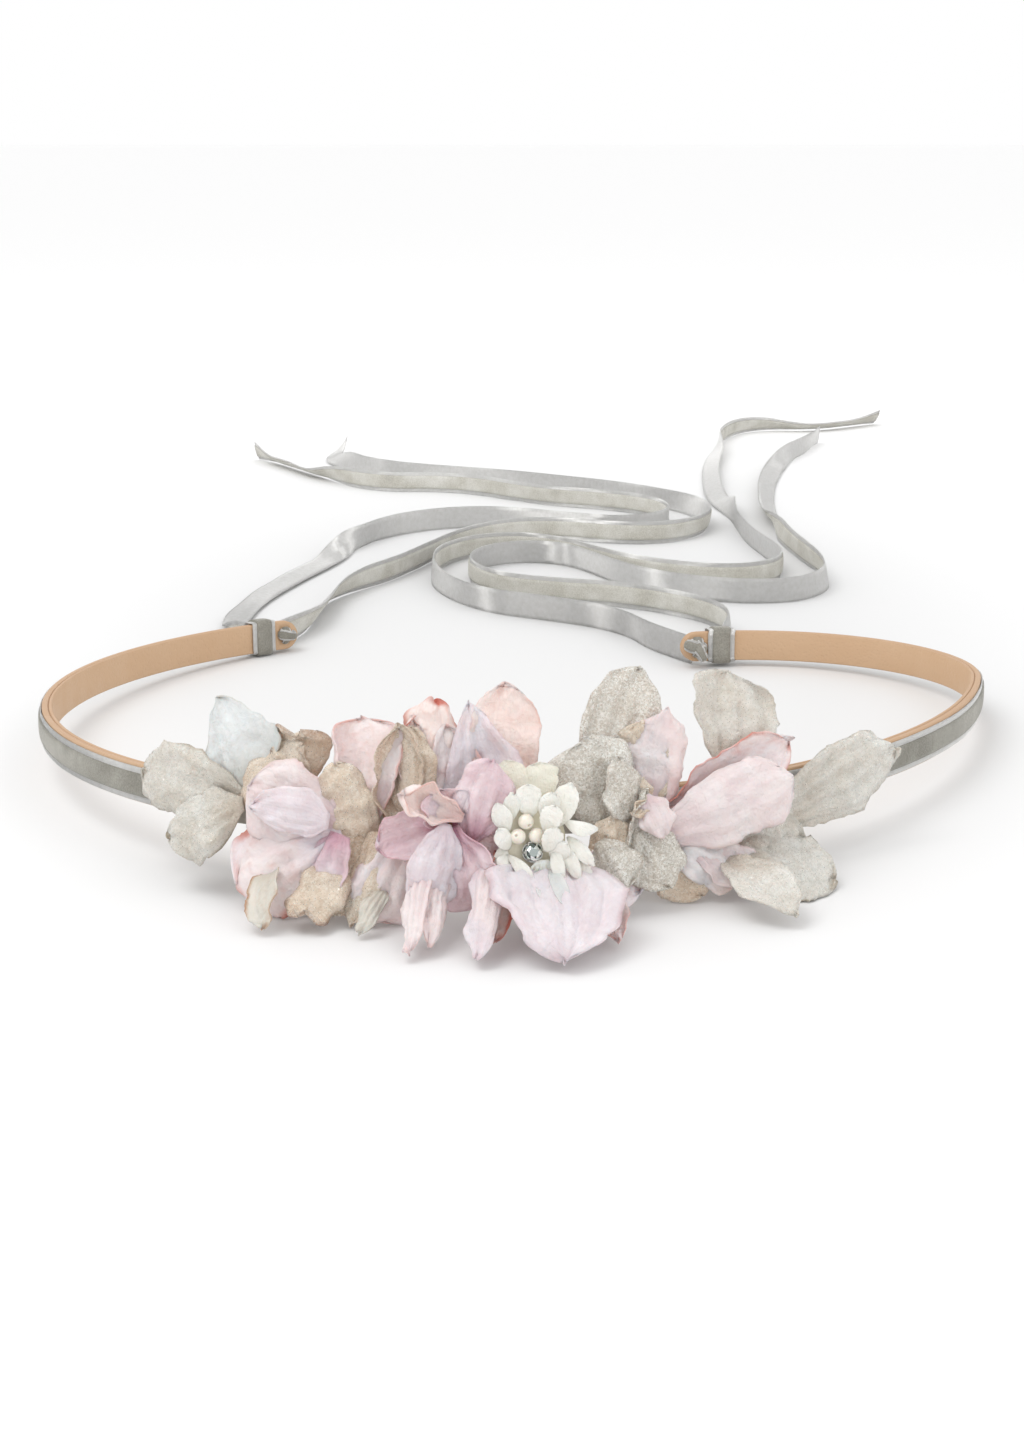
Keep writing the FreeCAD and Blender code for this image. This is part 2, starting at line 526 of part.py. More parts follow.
def tail_solid(points):
    """A ribbon on its edge: straight runs joined by tangent arcs, each as large as its runs allow."""
    corners = [Vector(x, y, TAIL_FLOOR) for x, y in points]
    half = RIBBON_GAUGE / 2
    near_edges, far_edges, radii = [], [], []
    travelled = 0.0
    here = corners[0]
    for before, corner, after in zip(corners, corners[1:], corners[2:]):
        arriving = (corner - before).normalize()
        leaving = (after - corner).normalize()
        turn = arriving.getAngle(leaving)
        shorter = min((corner - before).Length, (after - corner).Length)
        radius = 0.45 * shorter / math.tan(turn / 2)
        radii.append(radius)
        reach = 0.45 * shorter
        start, end = corner - arriving * reach, corner + leaving * reach
        bow = (leaving - arriving).normalize()
        centre = corner + bow * math.hypot(radius, reach)
        middle = centre - bow * radius
        side_in = Vector(-arriving.y, arriving.x, 0) * half
        side_out = Vector(-leaving.y, leaving.x, 0) * half
        left_turn = arriving.cross(leaving).z > 0
        side_mid = (bow if left_turn else bow * -1) * half
        for edges, sign in ((near_edges, 1), (far_edges, -1)):
            edges.append(Part.LineSegment(here + side_in * sign, start + side_in * sign).toShape())
            edges.append(Part.Arc(start + side_in * sign, middle + side_mid * sign,
                                  end + side_out * sign).toShape())
        travelled += (start - here).Length + radius * turn
        here = end
    leaving = (corners[-1] - corners[-2]).normalize()
    side = Vector(-leaving.y, leaving.x, 0) * half
    first = (corners[1] - corners[0]).normalize()
    side_first = Vector(-first.y, first.x, 0) * half
    near_edges.append(Part.LineSegment(here + side, corners[-1] + side).toShape())
    far_edges.append(Part.LineSegment(here - side, corners[-1] - side).toShape())
    travelled += (corners[-1] - here).Length
    caps = [Part.LineSegment(corners[-1] + side, corners[-1] - side).toShape(),
            Part.LineSegment(corners[0] + side_first, corners[0] - side_first).toShape()]
    outline = Part.Wire(Part.__sortEdges__(near_edges + far_edges + caps))
    solid = Part.Face(outline).extrude(Vector(0, 0, RIBBON_WIDTH))
    return solid, travelled, radii


def lay_down(shape):
    """Leans the level crown back onto its ends, as it lies on the table."""
    placed = shape.copy()
    placed.rotate(Vector(0, PIVOT_Y, 0), Vector(1, 0, 0), -LIE_TILT)
    placed.translate(Vector(0, 0, TABLE_GAP))
    return placed


def crown_parts():
    parts = {
        "leather_lining": leather_lining(),
        "spring_core": spring_core(0),
        "leather_cover": leather_cover(),
        "velvet_ribbon": velvet_ribbon(),
        "felt_pad": felt_pad(),
        "left_tie_wrap": tie_wrap(-LEFT_LENGTH, -1),
        "right_tie_wrap": tie_wrap(RIGHT_LENGTH, 1),
        "left_tie_knot": tie_knot(-LEFT_LENGTH, -1),
        "right_tie_knot": tie_knot(RIGHT_LENGTH, 1),
        "floret_stems": floret_stems(),
        "flower_disc": flower_disc(),
        "pearls": pearls(),
        "claw_setting": claw_setting(),
        "rhinestone": rhinestone(),
        "thread_fan": thread_fan(),
    }
    for name, rows in WHITE_PETALS.items():
        parts[name] = white_petals(rows)
    for name, rows in PETALS.items():
        parts[name] = petal_group(rows)
    return parts


def build():
    os.makedirs("parts", exist_ok=True)
    parts = {name: lay_down(shape) for name, shape in crown_parts().items()}
    for name, points in TAILS.items():
        solid, length, radii = tail_solid(points)
        expected = length * RIBBON_GAUGE * RIBBON_WIDTH
        print(f"{name}: length {length:.0f} mm, volume {solid.Volume:.0f} of {expected:.0f} mm3,"
              f" radii {min(radii):.0f} to {max(radii):.0f} mm")
        parts[name] = solid
    for name, shape in parts.items():
        state = "valid" if shape.isValid() else "NOT VALID"
        print(name, state, len(shape.Solids), f"{shape.Volume:.1f} mm3")
        shape.exportStep(f"parts/{name}.step")
    body = Part.makeCompound([shape for name, shape in parts.items() if name not in TAILS]).BoundBox
    print(f"{len(parts)} nodes, crown X {body.XMin:.1f} {body.XMax:.1f}"
          f" Y {body.YMin:.1f} {body.YMax:.1f} Z {body.ZMin:.2f} {body.ZMax:.1f}")


build()
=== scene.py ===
import bpy
import math
import random
from mathutils import Matrix, Vector, noise


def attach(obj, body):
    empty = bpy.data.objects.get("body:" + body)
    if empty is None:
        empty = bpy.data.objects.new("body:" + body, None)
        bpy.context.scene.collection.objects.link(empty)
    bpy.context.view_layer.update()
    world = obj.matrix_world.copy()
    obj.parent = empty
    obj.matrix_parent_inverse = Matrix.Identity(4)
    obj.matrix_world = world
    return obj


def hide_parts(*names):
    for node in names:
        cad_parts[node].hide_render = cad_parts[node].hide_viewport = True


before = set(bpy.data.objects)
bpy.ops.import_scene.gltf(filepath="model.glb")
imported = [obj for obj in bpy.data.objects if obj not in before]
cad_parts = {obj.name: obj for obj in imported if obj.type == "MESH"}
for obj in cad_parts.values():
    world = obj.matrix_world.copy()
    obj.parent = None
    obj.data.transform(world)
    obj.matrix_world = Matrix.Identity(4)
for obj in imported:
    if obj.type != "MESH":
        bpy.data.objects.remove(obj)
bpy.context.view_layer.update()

mm = 0.001
zUp = Vector((0, 0, 1))

# how the crown lies
bandPath = {
    "front": (-4.5, -57.6),                                   # middle of the band's front, mm
    "heading": 4.6,                                           # degrees
    "leftArcs": [(70.0, 54.5), (80.0, 92.5), (85.0, 57.0)],   # radius and length of each arc
    "rightArcs": [(84.0, 52.0), (122.0, 78.5), (38.0, 82.0)],
    "lieTilt": 3.15,                                          # the front is raised by this
    "pivotY": 88.4,
    "tableGap": 0.5,
    "height": 6.0,
    "padFace": 2.9,                                           # from the leather's centre line
}
leftLength = sum(length for radius, length in bandPath["leftArcs"])
rightLength = sum(length for radius, length in bandPath["rightArcs"])

pivot = Vector((0, bandPath["pivotY"], 0))
layDown = (
    Matrix.Translation(Vector((0, 0, bandPath["tableGap"])))
    @ Matrix.Translation(pivot)
    @ Matrix.Rotation(math.radians(-bandPath["lieTilt"]), 4, "X")
    @ Matrix.Translation(-pivot)
)


def bandPlace(along):  # centre of the leather and the way out, level
    side = 1 if along >= 0 else -1
    heading = math.radians(bandPath["heading"] if side > 0 else bandPath["heading"] + 180)
    point = Vector((bandPath["front"][0], bandPath["front"][1], 0))
    left = abs(along)
    arcs = bandPath["rightArcs"] if side > 0 else bandPath["leftArcs"]
    for number, (radius, length) in enumerate(arcs):
        step = left if number == len(arcs) - 1 else min(left, length)
        turn = side * step / radius
        chord = 2 * radius * math.sin(abs(turn) / 2)
        middle = heading + turn / 2
        point = point + Vector((math.cos(middle), math.sin(middle), 0)) * chord
        heading += turn
        left -= step
        if left <= 0:
            break
    return point, Vector((math.sin(heading), -math.cos(heading), 0)) * side


def bandPoint(along, out, up):
    point, outward = bandPlace(along)
    return point + outward * out + zUp * up


# small mesh and node helpers
def smoothStep(low, high, value):
    t = min(max((value - low) / (high - low), 0.0), 1.0)
    return t * t * (3 - 2 * t)


def newPiece(name, points, faces, materials, place=None, uvs=None, tones=None, faceMaterial=None):
    # points are in mm; place is a matrix in mm
    mesh = bpy.data.meshes.new(name)
    moved = [(place @ p if place else p) * mm for p in points]
    mesh.from_pydata([tuple(p) for p in moved], [], faces)
    for material in materials:
        mesh.materials.append(material)
    if faceMaterial:
        mesh.polygons.foreach_set("material_index", faceMaterial)
    mesh.polygons.foreach_set("use_smooth", [True] * len(mesh.polygons))
    corners = [index for face in faces for index in face]
    if uvs:
        layer = mesh.uv_layers.new(name="across")
        layer.data.foreach_set("uv", [value for index in corners for value in uvs[index]])
    if tones:
        layer = mesh.color_attributes.new("tone", "FLOAT_COLOR", "POINT")
        layer.data.foreach_set("color", [value for tone in tones for value in (*tone, 1.0)])
    mesh.update()
    piece = bpy.data.objects.new(name, mesh)
    bpy.context.scene.collection.objects.link(piece)
    return piece


def crownPiece(piece, nodes):
    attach(piece, "root")
    if nodes:
        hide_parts(*nodes)
    return piece


def tint(hexText):  # a screen colour as the linear one that a shader takes
    values = [int(hexText[i:i + 2], 16) / 255 for i in (0, 2, 4)]
    return tuple(v / 12.92 if v <= 0.04045 else ((v + 0.055) / 1.055) ** 2.4 for v in values) + (1.0,)


class Finish:
    # a material whose nodes are added one at a time
    def __init__(self, name, rough=0.6):
        self.material = bpy.data.materials.new(name)
        self.material.use_nodes = True
        self.nodes = self.material.node_tree.nodes
        self.links = self.material.node_tree.links
        self.shader = self.nodes["Principled BSDF"]
        self.shader.inputs["Roughness"].default_value = rough
        self.spot = self.nodes.new("ShaderNodeTexCoord")

    def set(self, **values):
        for name, value in values.items():
            self.shader.inputs[name.replace("_", " ")].default_value = value

    def noise(self, scale, detail=3.0, rough=0.55, warp=0.0, where="Object", stretch=None):
        node = self.nodes.new("ShaderNodeTexNoise")
        node.inputs["Scale"].default_value = scale
        node.inputs["Detail"].default_value = detail
        node.inputs["Roughness"].default_value = rough
        node.inputs["Distortion"].default_value = warp
        self.links.new(self.place(where, stretch), node.inputs["Vector"])
        return node.outputs["Fac"]

    def cells(self, scale, where="Object", feature="F1"):
        node = self.nodes.new("ShaderNodeTexVoronoi")
        node.feature = feature
        node.inputs["Scale"].default_value = scale
        self.links.new(self.place(where, None), node.inputs["Vector"])
        return node

    def wave(self, scale, warp, detail, where="UV", direction="X", stretch=None):
        node = self.nodes.new("ShaderNodeTexWave")
        node.bands_direction = direction
        node.inputs["Scale"].default_value = scale
        node.inputs["Distortion"].default_value = warp
        node.inputs["Detail"].default_value = detail
        self.links.new(self.place(where, stretch), node.inputs["Vector"])
        return node.outputs["Fac"]

    def place(self, where, stretch):
        if not stretch:
            return self.spot.outputs[where]
        node = self.nodes.new("ShaderNodeMapping")
        node.inputs["Scale"].default_value = stretch
        self.links.new(self.spot.outputs[where], node.inputs["Vector"])
        return node.outputs["Vector"]

    def ramp(self, source, *stops):  # stops are place, colour or grey value
        node = self.nodes.new("ShaderNodeValToRGB")
        ramp = node.color_ramp
        while len(ramp.elements) < len(stops):
            ramp.elements.new(0.5)
        for element, (position, colour) in zip(ramp.elements, stops):
            element.position = position
            element.color = (colour, colour, colour, 1.0) if isinstance(colour, float) else colour
        self.links.new(source, node.inputs["Fac"])
        return node.outputs["Color"]

    def math(self, kind, first, second):
        node = self.nodes.new("ShaderNodeMath")
        node.operation = kind
        for socket, value in zip(node.inputs, (first, second)):
            if isinstance(value, (int, float)):
                socket.default_value = value
            else:
                self.links.new(value, socket)
        return node.outputs["Value"]

    def mix(self, amount, first, second, blend="MIX"):
        node = self.nodes.new("ShaderNodeMix")
        node.data_type = "RGBA"
        node.blend_type = blend
        sockets = [node.inputs[0], node.inputs[6], node.inputs[7]]
        for socket, value in zip(sockets, (amount, first, second)):
            if isinstance(value, (int, float, tuple)):
                socket.default_value = value
            else:
                self.links.new(value, socket)
        return node.outputs[2]

    def tone(self):
        node = self.nodes.new("ShaderNodeVertexColor")
        node.layer_name = "tone"
        split = self.nodes.new("ShaderNodeSeparateColor")
        self.links.new(node.outputs["Color"], split.inputs["Color"])
        return split.outputs

    def bump(self, height, depth, before=None):  # depth in metres
        node = self.nodes.new("ShaderNodeBump")
        node.inputs["Distance"].default_value = depth
        node.inputs["Strength"].default_value = 1.0
        self.links.new(height, node.inputs["Height"])
        if before:
            self.links.new(before, node.inputs["Normal"])
        return node.outputs["Normal"]

    def finish(self, colour=None, rough=None, normal=None):
        if colour:
            self.links.new(colour, self.shader.inputs["Base Color"])
        if rough:
            self.links.new(rough, self.shader.inputs["Roughness"])
        if normal:
            self.links.new(normal, self.shader.inputs["Normal"])
        return self.material


# finishes
leatherLook = {"skin": "E8C9A6", "warm": "DDB992", "edge": "B08D6E", "grain": 1500, "grainDepth": 0.00006}
velvetLook = {
    # the second pile pair is a darker copy of the same grey velvet, its darkness painted shade, for the
    # ribbon glued on the band and for the wraps and knots
    "pile": "BDBBB5", "pileLight": "D9D8D4", "shadedPile": "85837C", "shadedPileLight": "A8A6A0",
    "satin": "F6F5F3", "satinDark": "E6E5E1",
    "sheen": 0.65, "pileGrain": 3200, "ribs": 260,
}


def greyVelvet(name, pile, pileLight):
    f = Finish(name, 0.95)
    nap = f.noise(velvetLook["pileGrain"], 3, 0.7)
    drift = f.noise(150, 3)
    colour = f.ramp(drift, (0.3, tint(pile)), (0.75, tint(pileLight)))
    colour = f.mix(0.45, colour, f.ramp(nap, (0.3, tint("706E66")), (0.7, tint("D2D0C8"))), "OVERLAY")
    normal = f.bump(nap, 0.00012)
    f.set(Sheen_Weight=velvetLook["sheen"], Sheen_Roughness=0.35, Specular_IOR_Level=0.2)
    f.shader.inputs["Sheen Tint"].default_value = tint("F2F1EC")
    return f.finish(colour, None, normal)


def greySatin():
    f = Finish("greySatin", 0.38)
    ribs = f.wave(velvetLook["ribs"], 0.4, 1.0, "UV", "Y")
    threads = f.noise(900, 3, 0.6)
    colour = f.ramp(threads, (0.3, tint(velvetLook["satin"])), (0.75, tint(velvetLook["satinDark"])))
    normal = f.bump(ribs, 0.00006)
    normal = f.bump(threads, 0.00005, normal)
    rough = f.ramp(threads, (0.3, 0.34), (0.7, 0.5))
    f.set(Sheen_Weight=0.25, Specular_IOR_Level=0.55)
    return f.finish(colour, rough, normal)


def petalFinish(name, look):
    # look: base, second, painted foot shade (a dark colour laid on towards the petal's foot, where petals
    # crowd and cup; the veins use it too), rim and patch colours, then vein, glitter, crease, rough, sheen,
    # glow, see
    f = Finish(name, look.get("rough", 0.55))
    tone = f.tone()
    cloud = f.noise(look.get("cloud", 170), 4, 0.6, 0.6)
    colour = f.ramp(cloud, (0.34, tint(look["base"])), (0.68, tint(look["second"])))
    veins = f.wave(look.get("veinCount", 4.2), 7.0, 4.0, "UV", "X")
    threads = f.noise(9.0, 5, 0.65, 0.8, "UV", (4.0, 0.7, 1.0))
    veinMask = f.ramp(f.math("MULTIPLY", veins, threads), (0.18, 0.0), (0.62, 1.0))
    # veins are drawn in the same dark colour as the painted foot shade
    colour = f.mix(f.math("MULTIPLY", veinMask, look.get("vein", 0.25)), colour, tint(look["deep"]))
    # painted shade: darker towards the petal's foot, inside cups and where the petals crowd the pad
    colour = f.mix(tone[1], colour, tint(look["deep"]))
    colour = f.mix(tone[2], colour, tint(look["patch"]))
    colour = f.mix(tone[0], colour, tint(look["rim"]))
    fine = f.noise(1500, 4, 0.65)
    normal = f.bump(fine, 0.00004 + look.get("crease", 0.00005))
    creases = f.noise(420, 5, 0.6, 0.9)
    normal = f.bump(creases, 0.00030 + look.get("crease", 0.00005), normal)
    normal = f.bump(f.noise(850, 4, 0.6, 1.4), 0.00020, normal)
    normal = f.bump(veins, 0.00002, normal)
    rough = f.ramp(fine, (0.3, look.get("rough", 0.55) - 0.12), (0.75, look.get("rough", 0.55) + 0.14))
    if look.get("glitter"):
        grains = f.cells(look.get("grainSize", 4600))
        value = f.nodes.new("ShaderNodeSeparateColor")
        f.links.new(grains.outputs["Color"], value.inputs["Color"])
        # painted glints: each grain's colour runs from a darker painted shade through the grain's own colour
        # to a near-white painted highlight
        sparkle = f.ramp(value.outputs["Red"], (0.0, tint(look["grainShade"])), (0.55, tint(look["grainMid"])),
                         (0.9, tint(look["grainGlint"])))
        spread = f.ramp(f.noise(130, 3), (0.3, look["glitter"] * 0.55), (0.7, look["glitter"]))
        colour = f.mix(spread, colour, sparkle)
        normal = f.bump(value.outputs["Green"], 0.00010, normal)
        rough = f.ramp(value.outputs["Blue"], (0.1, 0.24), (0.9, 0.62))
    f.set(Specular_IOR_Level=look.get("gloss", 0.35), Subsurface_Weight=look.get("glow", 0.3),
          Subsurface_Scale=0.0012, Sheen_Weight=look.get("sheen", 0.2))
    f.shader.inputs["Subsurface Radius"].default_value = (1.0, 0.6, 0.5)
    if look.get("see"):
        f.set(Alpha=look["see"])
    return f.finish(colour, rough, normal)


petalFinishes = {
    "pink": {"base": "F3E3E1", "second": "E7CFCF", "deep": "C08F96", "rim": "C47C70", "patch": "E8DDE4",
             "vein": 0.05, "rough": 0.46, "glow": 0.45, "gloss": 0.5},
    "blush": {"base": "F4E2DD", "second": "EBCFC9", "deep": "CC8F8C", "rim": "BE6A5C", "patch": "F1E3E2",
              "vein": 0.05, "rough": 0.46, "glow": 0.45, "gloss": 0.5},
    "lilac": {"base": "EAD5D8", "second": "DABBC3", "deep": "A97086", "rim": "B07C8C", "patch": "EDE0E5",
              "vein": 0.07, "rough": 0.46, "glow": 0.4, "gloss": 0.5},
    "lavender": {"base": "EFE3E6", "second": "E0CFD4", "deep": "BA9AA8", "rim": "BE8F95", "patch": "F0DAD8",
                 "vein": 0.09, "rough": 0.48, "glow": 0.45, "gloss": 0.45},
    "champagne": {"base": "E6D5C3", "second": "D5BDA5", "deep": "9E7C5E", "rim": "6E462A", "patch": "D9BDB6",
                  "vein": 0.05, "rough": 0.4, "glitter": 0.36, "grainShade": "BDA68E", "grainMid": "E4D5C3",
                  "grainGlint": "FFFCF4", "glow": 0.2, "gloss": 0.7},
    "silver": {"base": "DCD7CE", "second": "C8C0B4", "deep": "968772", "rim": "94826A", "patch": "C8B4A6",
               "vein": 0.04, "rough": 0.36, "glitter": 0.62, "grainShade": "A59A8B", "grainMid": "D9D4CA",
               "grainGlint": "FFFEFA", "glow": 0.15, "gloss": 0.75},
    "greyLeaf": {"base": "E8E4DD", "second": "D2CBC0", "deep": "AD977D", "rim": "A48E6C", "patch": "F2F0EA",
                 "vein": 0.08, "rough": 0.42, "glitter": 0.22, "grainShade": "B2AB9C", "grainMid": "DAD6CC",
                 "grainGlint": "F6F4F0", "glow": 0.2, "gloss": 0.55, "crease": 0.00022},
    "mist": {"base": "E6E9E9", "second": "D2D6D6", "deep": "B3B3A8", "rim": "BDB7A4", "patch": "EEEEEA",
             "vein": 0.06, "rough": 0.4, "glow": 0.35, "see": 0.94, "crease": 0.00015},
    "veil": {"base": "EDE8DE", "second": "E0D8CB", "deep": "C5B8A3", "rim": "B98F6E", "patch": "F2EFE8",
             "vein": 0.05, "rough": 0.38, "glow": 0.35, "see": 0.8, "crease": 0.00012},
    "paper": {"base": "F7F5EE", "second": "EFECE2", "deep": "D3CEB8", "rim": "FBF8EC", "patch": "F2EEE0",
              "vein": 0.0, "rough": 0.5, "glow": 0.2, "gloss": 0.45, "cloud": 300},
    "ivory": {"base": "F5F0E2", "second": "EFE8D6", "deep": "D8CEB2", "rim": "F6F0DE", "patch": "E2D8BC",
              "vein": 0.0, "rough": 0.5, "glow": 0.3, "see": 0.92},
    "frosted": {"base": "F5F7F4", "second": "EDEFEC", "deep": "E0E2DE", "rim": "F9FAF8", "patch": "EEEEEE",
                "vein": 0.0, "rough": 0.35, "glow": 0.3, "see": 0.6},
}
finishes = {name: petalFinish(name + "Petal", look) for name, look in petalFinishes.items()}
velvet = greyVelvet("greyVelvet", velvetLook["pile"], velvetLook["pileLight"])
# the same grey velvet twice: a lighter copy for the loose tails and a darker copy, with painted shade, for
# the band ribbon, wraps and knots
shadedVelvet = greyVelvet("shadedVelvet", velvetLook["shadedPile"], velvetLook["shadedPileLight"])
satin = greySatin()
print("finishes ready:", len(finishes) + 2)

# camera
cameraPlace = {"spot": (-0.002, -0.336, 0.105), "target": (-0.002, 0.0024, 0.008), "lens": 72.07}
lensData = bpy.data.cameras.new("camera")
lensData.sensor_fit = "HORIZONTAL"
lensData.sensor_width = 36
lensData.lens = cameraPlace["lens"]
lensData.clip_start = 0.01
lensData.clip_end = 60
camera = bpy.data.objects.new("camera", lensData)
camera.location = cameraPlace["spot"]
sight = Vector(cameraPlace["target"]) - Vector(cameraPlace["spot"])
camera.rotation_euler = sight.to_track_quat("-Z", "Y").to_euler()
bpy.context.scene.collection.objects.link(camera)
bpy.context.scene.camera = camera


# ribbon
ribbonCut = {"width": 6.0, "gauge": 0.45, "pile": 0.28, "selvedge": 0.17, "lineHeight": 3.1}
# in mm; selvedge is a share of the width


def ribbonSection(width, gauge):
    # across and proud of the middle, then whether it is pile
    half = width / 2
    bare = half * (1 - 2 * ribbonCut["selvedge"])
    thick = gauge / 2
    pile = ribbonCut["pile"]
    front = [(-half, -0.4 * thick), (-half * 0.99, 0.4 * thick), (-half * 0.86, 0.75 * thick),
             (-bare, 0.6 * thick), (-bare * 0.97, thick + pile * 0.7), (-bare * 0.6, thick + pile),
             (0, thick + pile * 1.12),
             (bare * 0.6, thick + pile), (bare * 0.97, thick + pile * 0.7), (bare, 0.6 * thick),
             (half * 0.86, 0.75 * thick), (half * 0.99, 0.4 * thick), (half, -0.4 * thick)]
    back = [(half * 0.7, -thick), (0, -0.85 * thick), (-half * 0.7, -thick)]
    return front + back, set(range(3, 9))


def ribbonMesh(name, stations, width, gauge, closed=False, nodes=(), place=None,
               pile=None):
    # stations: middle, direction across the ribbon, direction its pile faces, and a width share
    section, pileSides = ribbonSection(width, gauge)
    count = len(section)
    points, uvs, faces, which = [], [], [], []
    travelled = 0.0
    for number, (middle, across, proud, share) in enumerate(stations):
        if number:
            travelled += (middle - stations[number - 1][0]).length
        for x, y in section:
            points.append(middle + across * (x * share) + proud * y)
            uvs.append(((x / width + 0.5), travelled * 0.1))
    total = len(stations)
    for i in range(total if closed else total - 1):
        a, b = i * count, ((i + 1) % total) * count
        for k in range(count):
            n = (k + 1) % count
            faces.append((a + k, b + k, b + n, a + n))
            which.append(0 if k in pileSides else 1)
    if not closed:
        faces.append(tuple(range(count)))
        faces.append(tuple(range((total - 1) * count, total * count))[::-1])
        which += [1, 1]
    middle, across, proud, share = stations[0]
    forward = stations[1][0] - middle
    if across.cross(proud).dot(forward) < 0:
        faces = [face[::-1] for face in faces]
    piece = newPiece(name, points, faces, [pile or velvet, satin], place, uvs, None, which)
    return crownPiece(piece, list(nodes))


tailRoutes = {
    "left_tail_outer": [
        (-56, 84.1), (-61.5, 95), (-64, 111), (-62.5, 130), (-57, 152), (-50, 174), (-44, 196),
        (-36, 215), (-21, 228), (-3, 229), (12, 221), (26, 214), (38, 219), (43, 232), (38, 247),
        (26, 257), (10, 263), (-2, 273), (-13, 284), (-26, 289), (-39, 288), (-51, 296), (-62, 310),
        (-74, 330), (-88, 354)],
    "left_tail_inner": [
        (-51.8, 87.6), (-48.5, 96), (-45.5, 106), (-45, 119), (-44, 132), (-39, 145), (-31, 158),
        (-25, 173), (-19.5, 188), (-12, 202), (0, 212), (13, 211), (26, 204.5), (39, 205), (49.5, 215),
        (54, 231), (50, 248), (40, 262), (27, 274), (11, 285), (-5, 295), (-21, 301), (-36, 309),
        (-49, 321), (-58, 336), (-63, 353), (-60, 370)],
    "right_tail_outer": [
        (40.6, 75.9), (43, 86), (46, 98), (43, 110), (34, 121), (22, 129), (9, 133), (-3, 138),
        (-11, 149), (-13, 163), (-8, 175), (2, 180), (12, 176), (18, 165), (24, 153), (32, 142),
        (42, 135), (54, 131), (66, 134), (74, 146), (75, 163), (72, 184), (70, 208), (70.5, 236),
        (73, 266), (77, 296), (83, 326), (91, 351), (100, 371), (107, 393)],
    "right_tail_inner": [
        (35, 74.8), (31, 81), (26.5, 89), (23, 99), (15, 108), (4, 115), (-7, 121), (-15, 132),
        (-20.5, 147), (-22, 162), (-19, 177), (-11, 188), (0, 191), (11, 185), (19, 172), (27, 160.5),
        (38, 152), (50, 148), (61, 153), (66, 166), (64, 182), (61, 200), (60, 221), (61, 245),
        (59, 272), (60, 300), (63, 332), (68, 363), (72, 393), (80, 415), (92, 424), (106, 421),
        (120, 427), (136, 442)],
}
tailLook = {
    # length in metres; flat: from, to (share of the length) and lean there; lean: how it wavers, degrees;
    # side: which way the pile faces
    "left_tail_outer": {"length": 0.419, "flat": [(0.02, 0.26, 78), (0.86, 1.0, 60)],
                       "lean": 12, "seed": 3, "side": 1},
    "left_tail_inner": {"length": 0.402, "flat": [(0.03, 0.14, 40), (0.9, 1.0, 55)],
                       "lean": 14, "seed": 8, "side": -1},
    "right_tail_outer": {"length": 0.493, "flat": [(0.64, 0.9, 58)], "lean": 12, "seed": 5, "side": 1},
    "right_tail_inner": {"length": 0.557, "flat": [(0.58, 0.8, 66), (0.9, 1.0, 50)],
                       "lean": 14, "seed": 9, "side": -1},
}


def splinePoints(name, points):  # a smooth line with these as its control points
    curve = bpy.data.curves.new(name + "Line", "CURVE")
    curve.dimensions = "3D"
    curve.resolution_u = 14
    spline = curve.splines.new("NURBS")
    spline.points.add(len(points) - 1)
    for spot, (x, y, z) in zip(spline.points, points):
        spot.co = (x, y, z, 1)
    spline.order_u = 3
    spline.use_endpoint_u = True
    carrier = bpy.data.objects.new(name + "Line", curve)
    mesh = bpy.data.meshes.new_from_object(carrier)
    line = [v.co.copy() for v in mesh.vertices]
    bpy.data.objects.remove(carrier)
    bpy.data.meshes.remove(mesh)
    return line


def tailStations(line, look):
    total = sum((b - a).length for a, b in zip(line, line[1:]))
    stations = []
    travelled = 0.0
    for number, point in enumerate(line):
        before, after = line[max(number - 1, 0)], line[min(number + 1, len(line) - 1)]
        if number:
            travelled += (point - line[number - 1]).length
        forward = (after - before).normalized()
        side = zUp.cross(forward).normalized() * look["side"]
        share = travelled / total
        waver = noise.noise(Vector((share * 9, look["seed"], 0.3)))
        waver += 0.5 * noise.noise(Vector((share * 21, 4.2, look["seed"])))
        lean = math.radians(look["lean"] * waver * 1.6)
        for start, end, angle in look["flat"]:
            amount = smoothStep(start - 0.03, start + 0.04, share)
            amount *= 1 - smoothStep(end - 0.04, end + 0.03, share)
            lean += math.radians(angle) * amount
        across = (zUp * math.cos(lean) + side * math.sin(lean)).normalized()
        proud = (side * math.cos(lean) - zUp * math.sin(lean)).normalized()
        rise = abs(across.z) * ribbonCut["width"] / 2 + abs(proud.z) * 0.6
        middle = Vector((point.x / mm, point.y / mm, max(rise, 0.5) + 0.12))
        stations.append((middle, across, proud, 1.0))
    return stations


tails = []
for name, route in tailRoutes.items():
    look = tailLook[name]
    line = splinePoints(name, [(x * mm, y * mm, ribbonCut["lineHeight"] * mm) for x, y in route])
    tail = ribbonMesh(name + "_ribbon", tailStations(line, look), ribbonCut["width"], ribbonCut["gauge"],
                      nodes=[name])
    tails.append(tail)
print("ribbon tails laid:", len(tails))


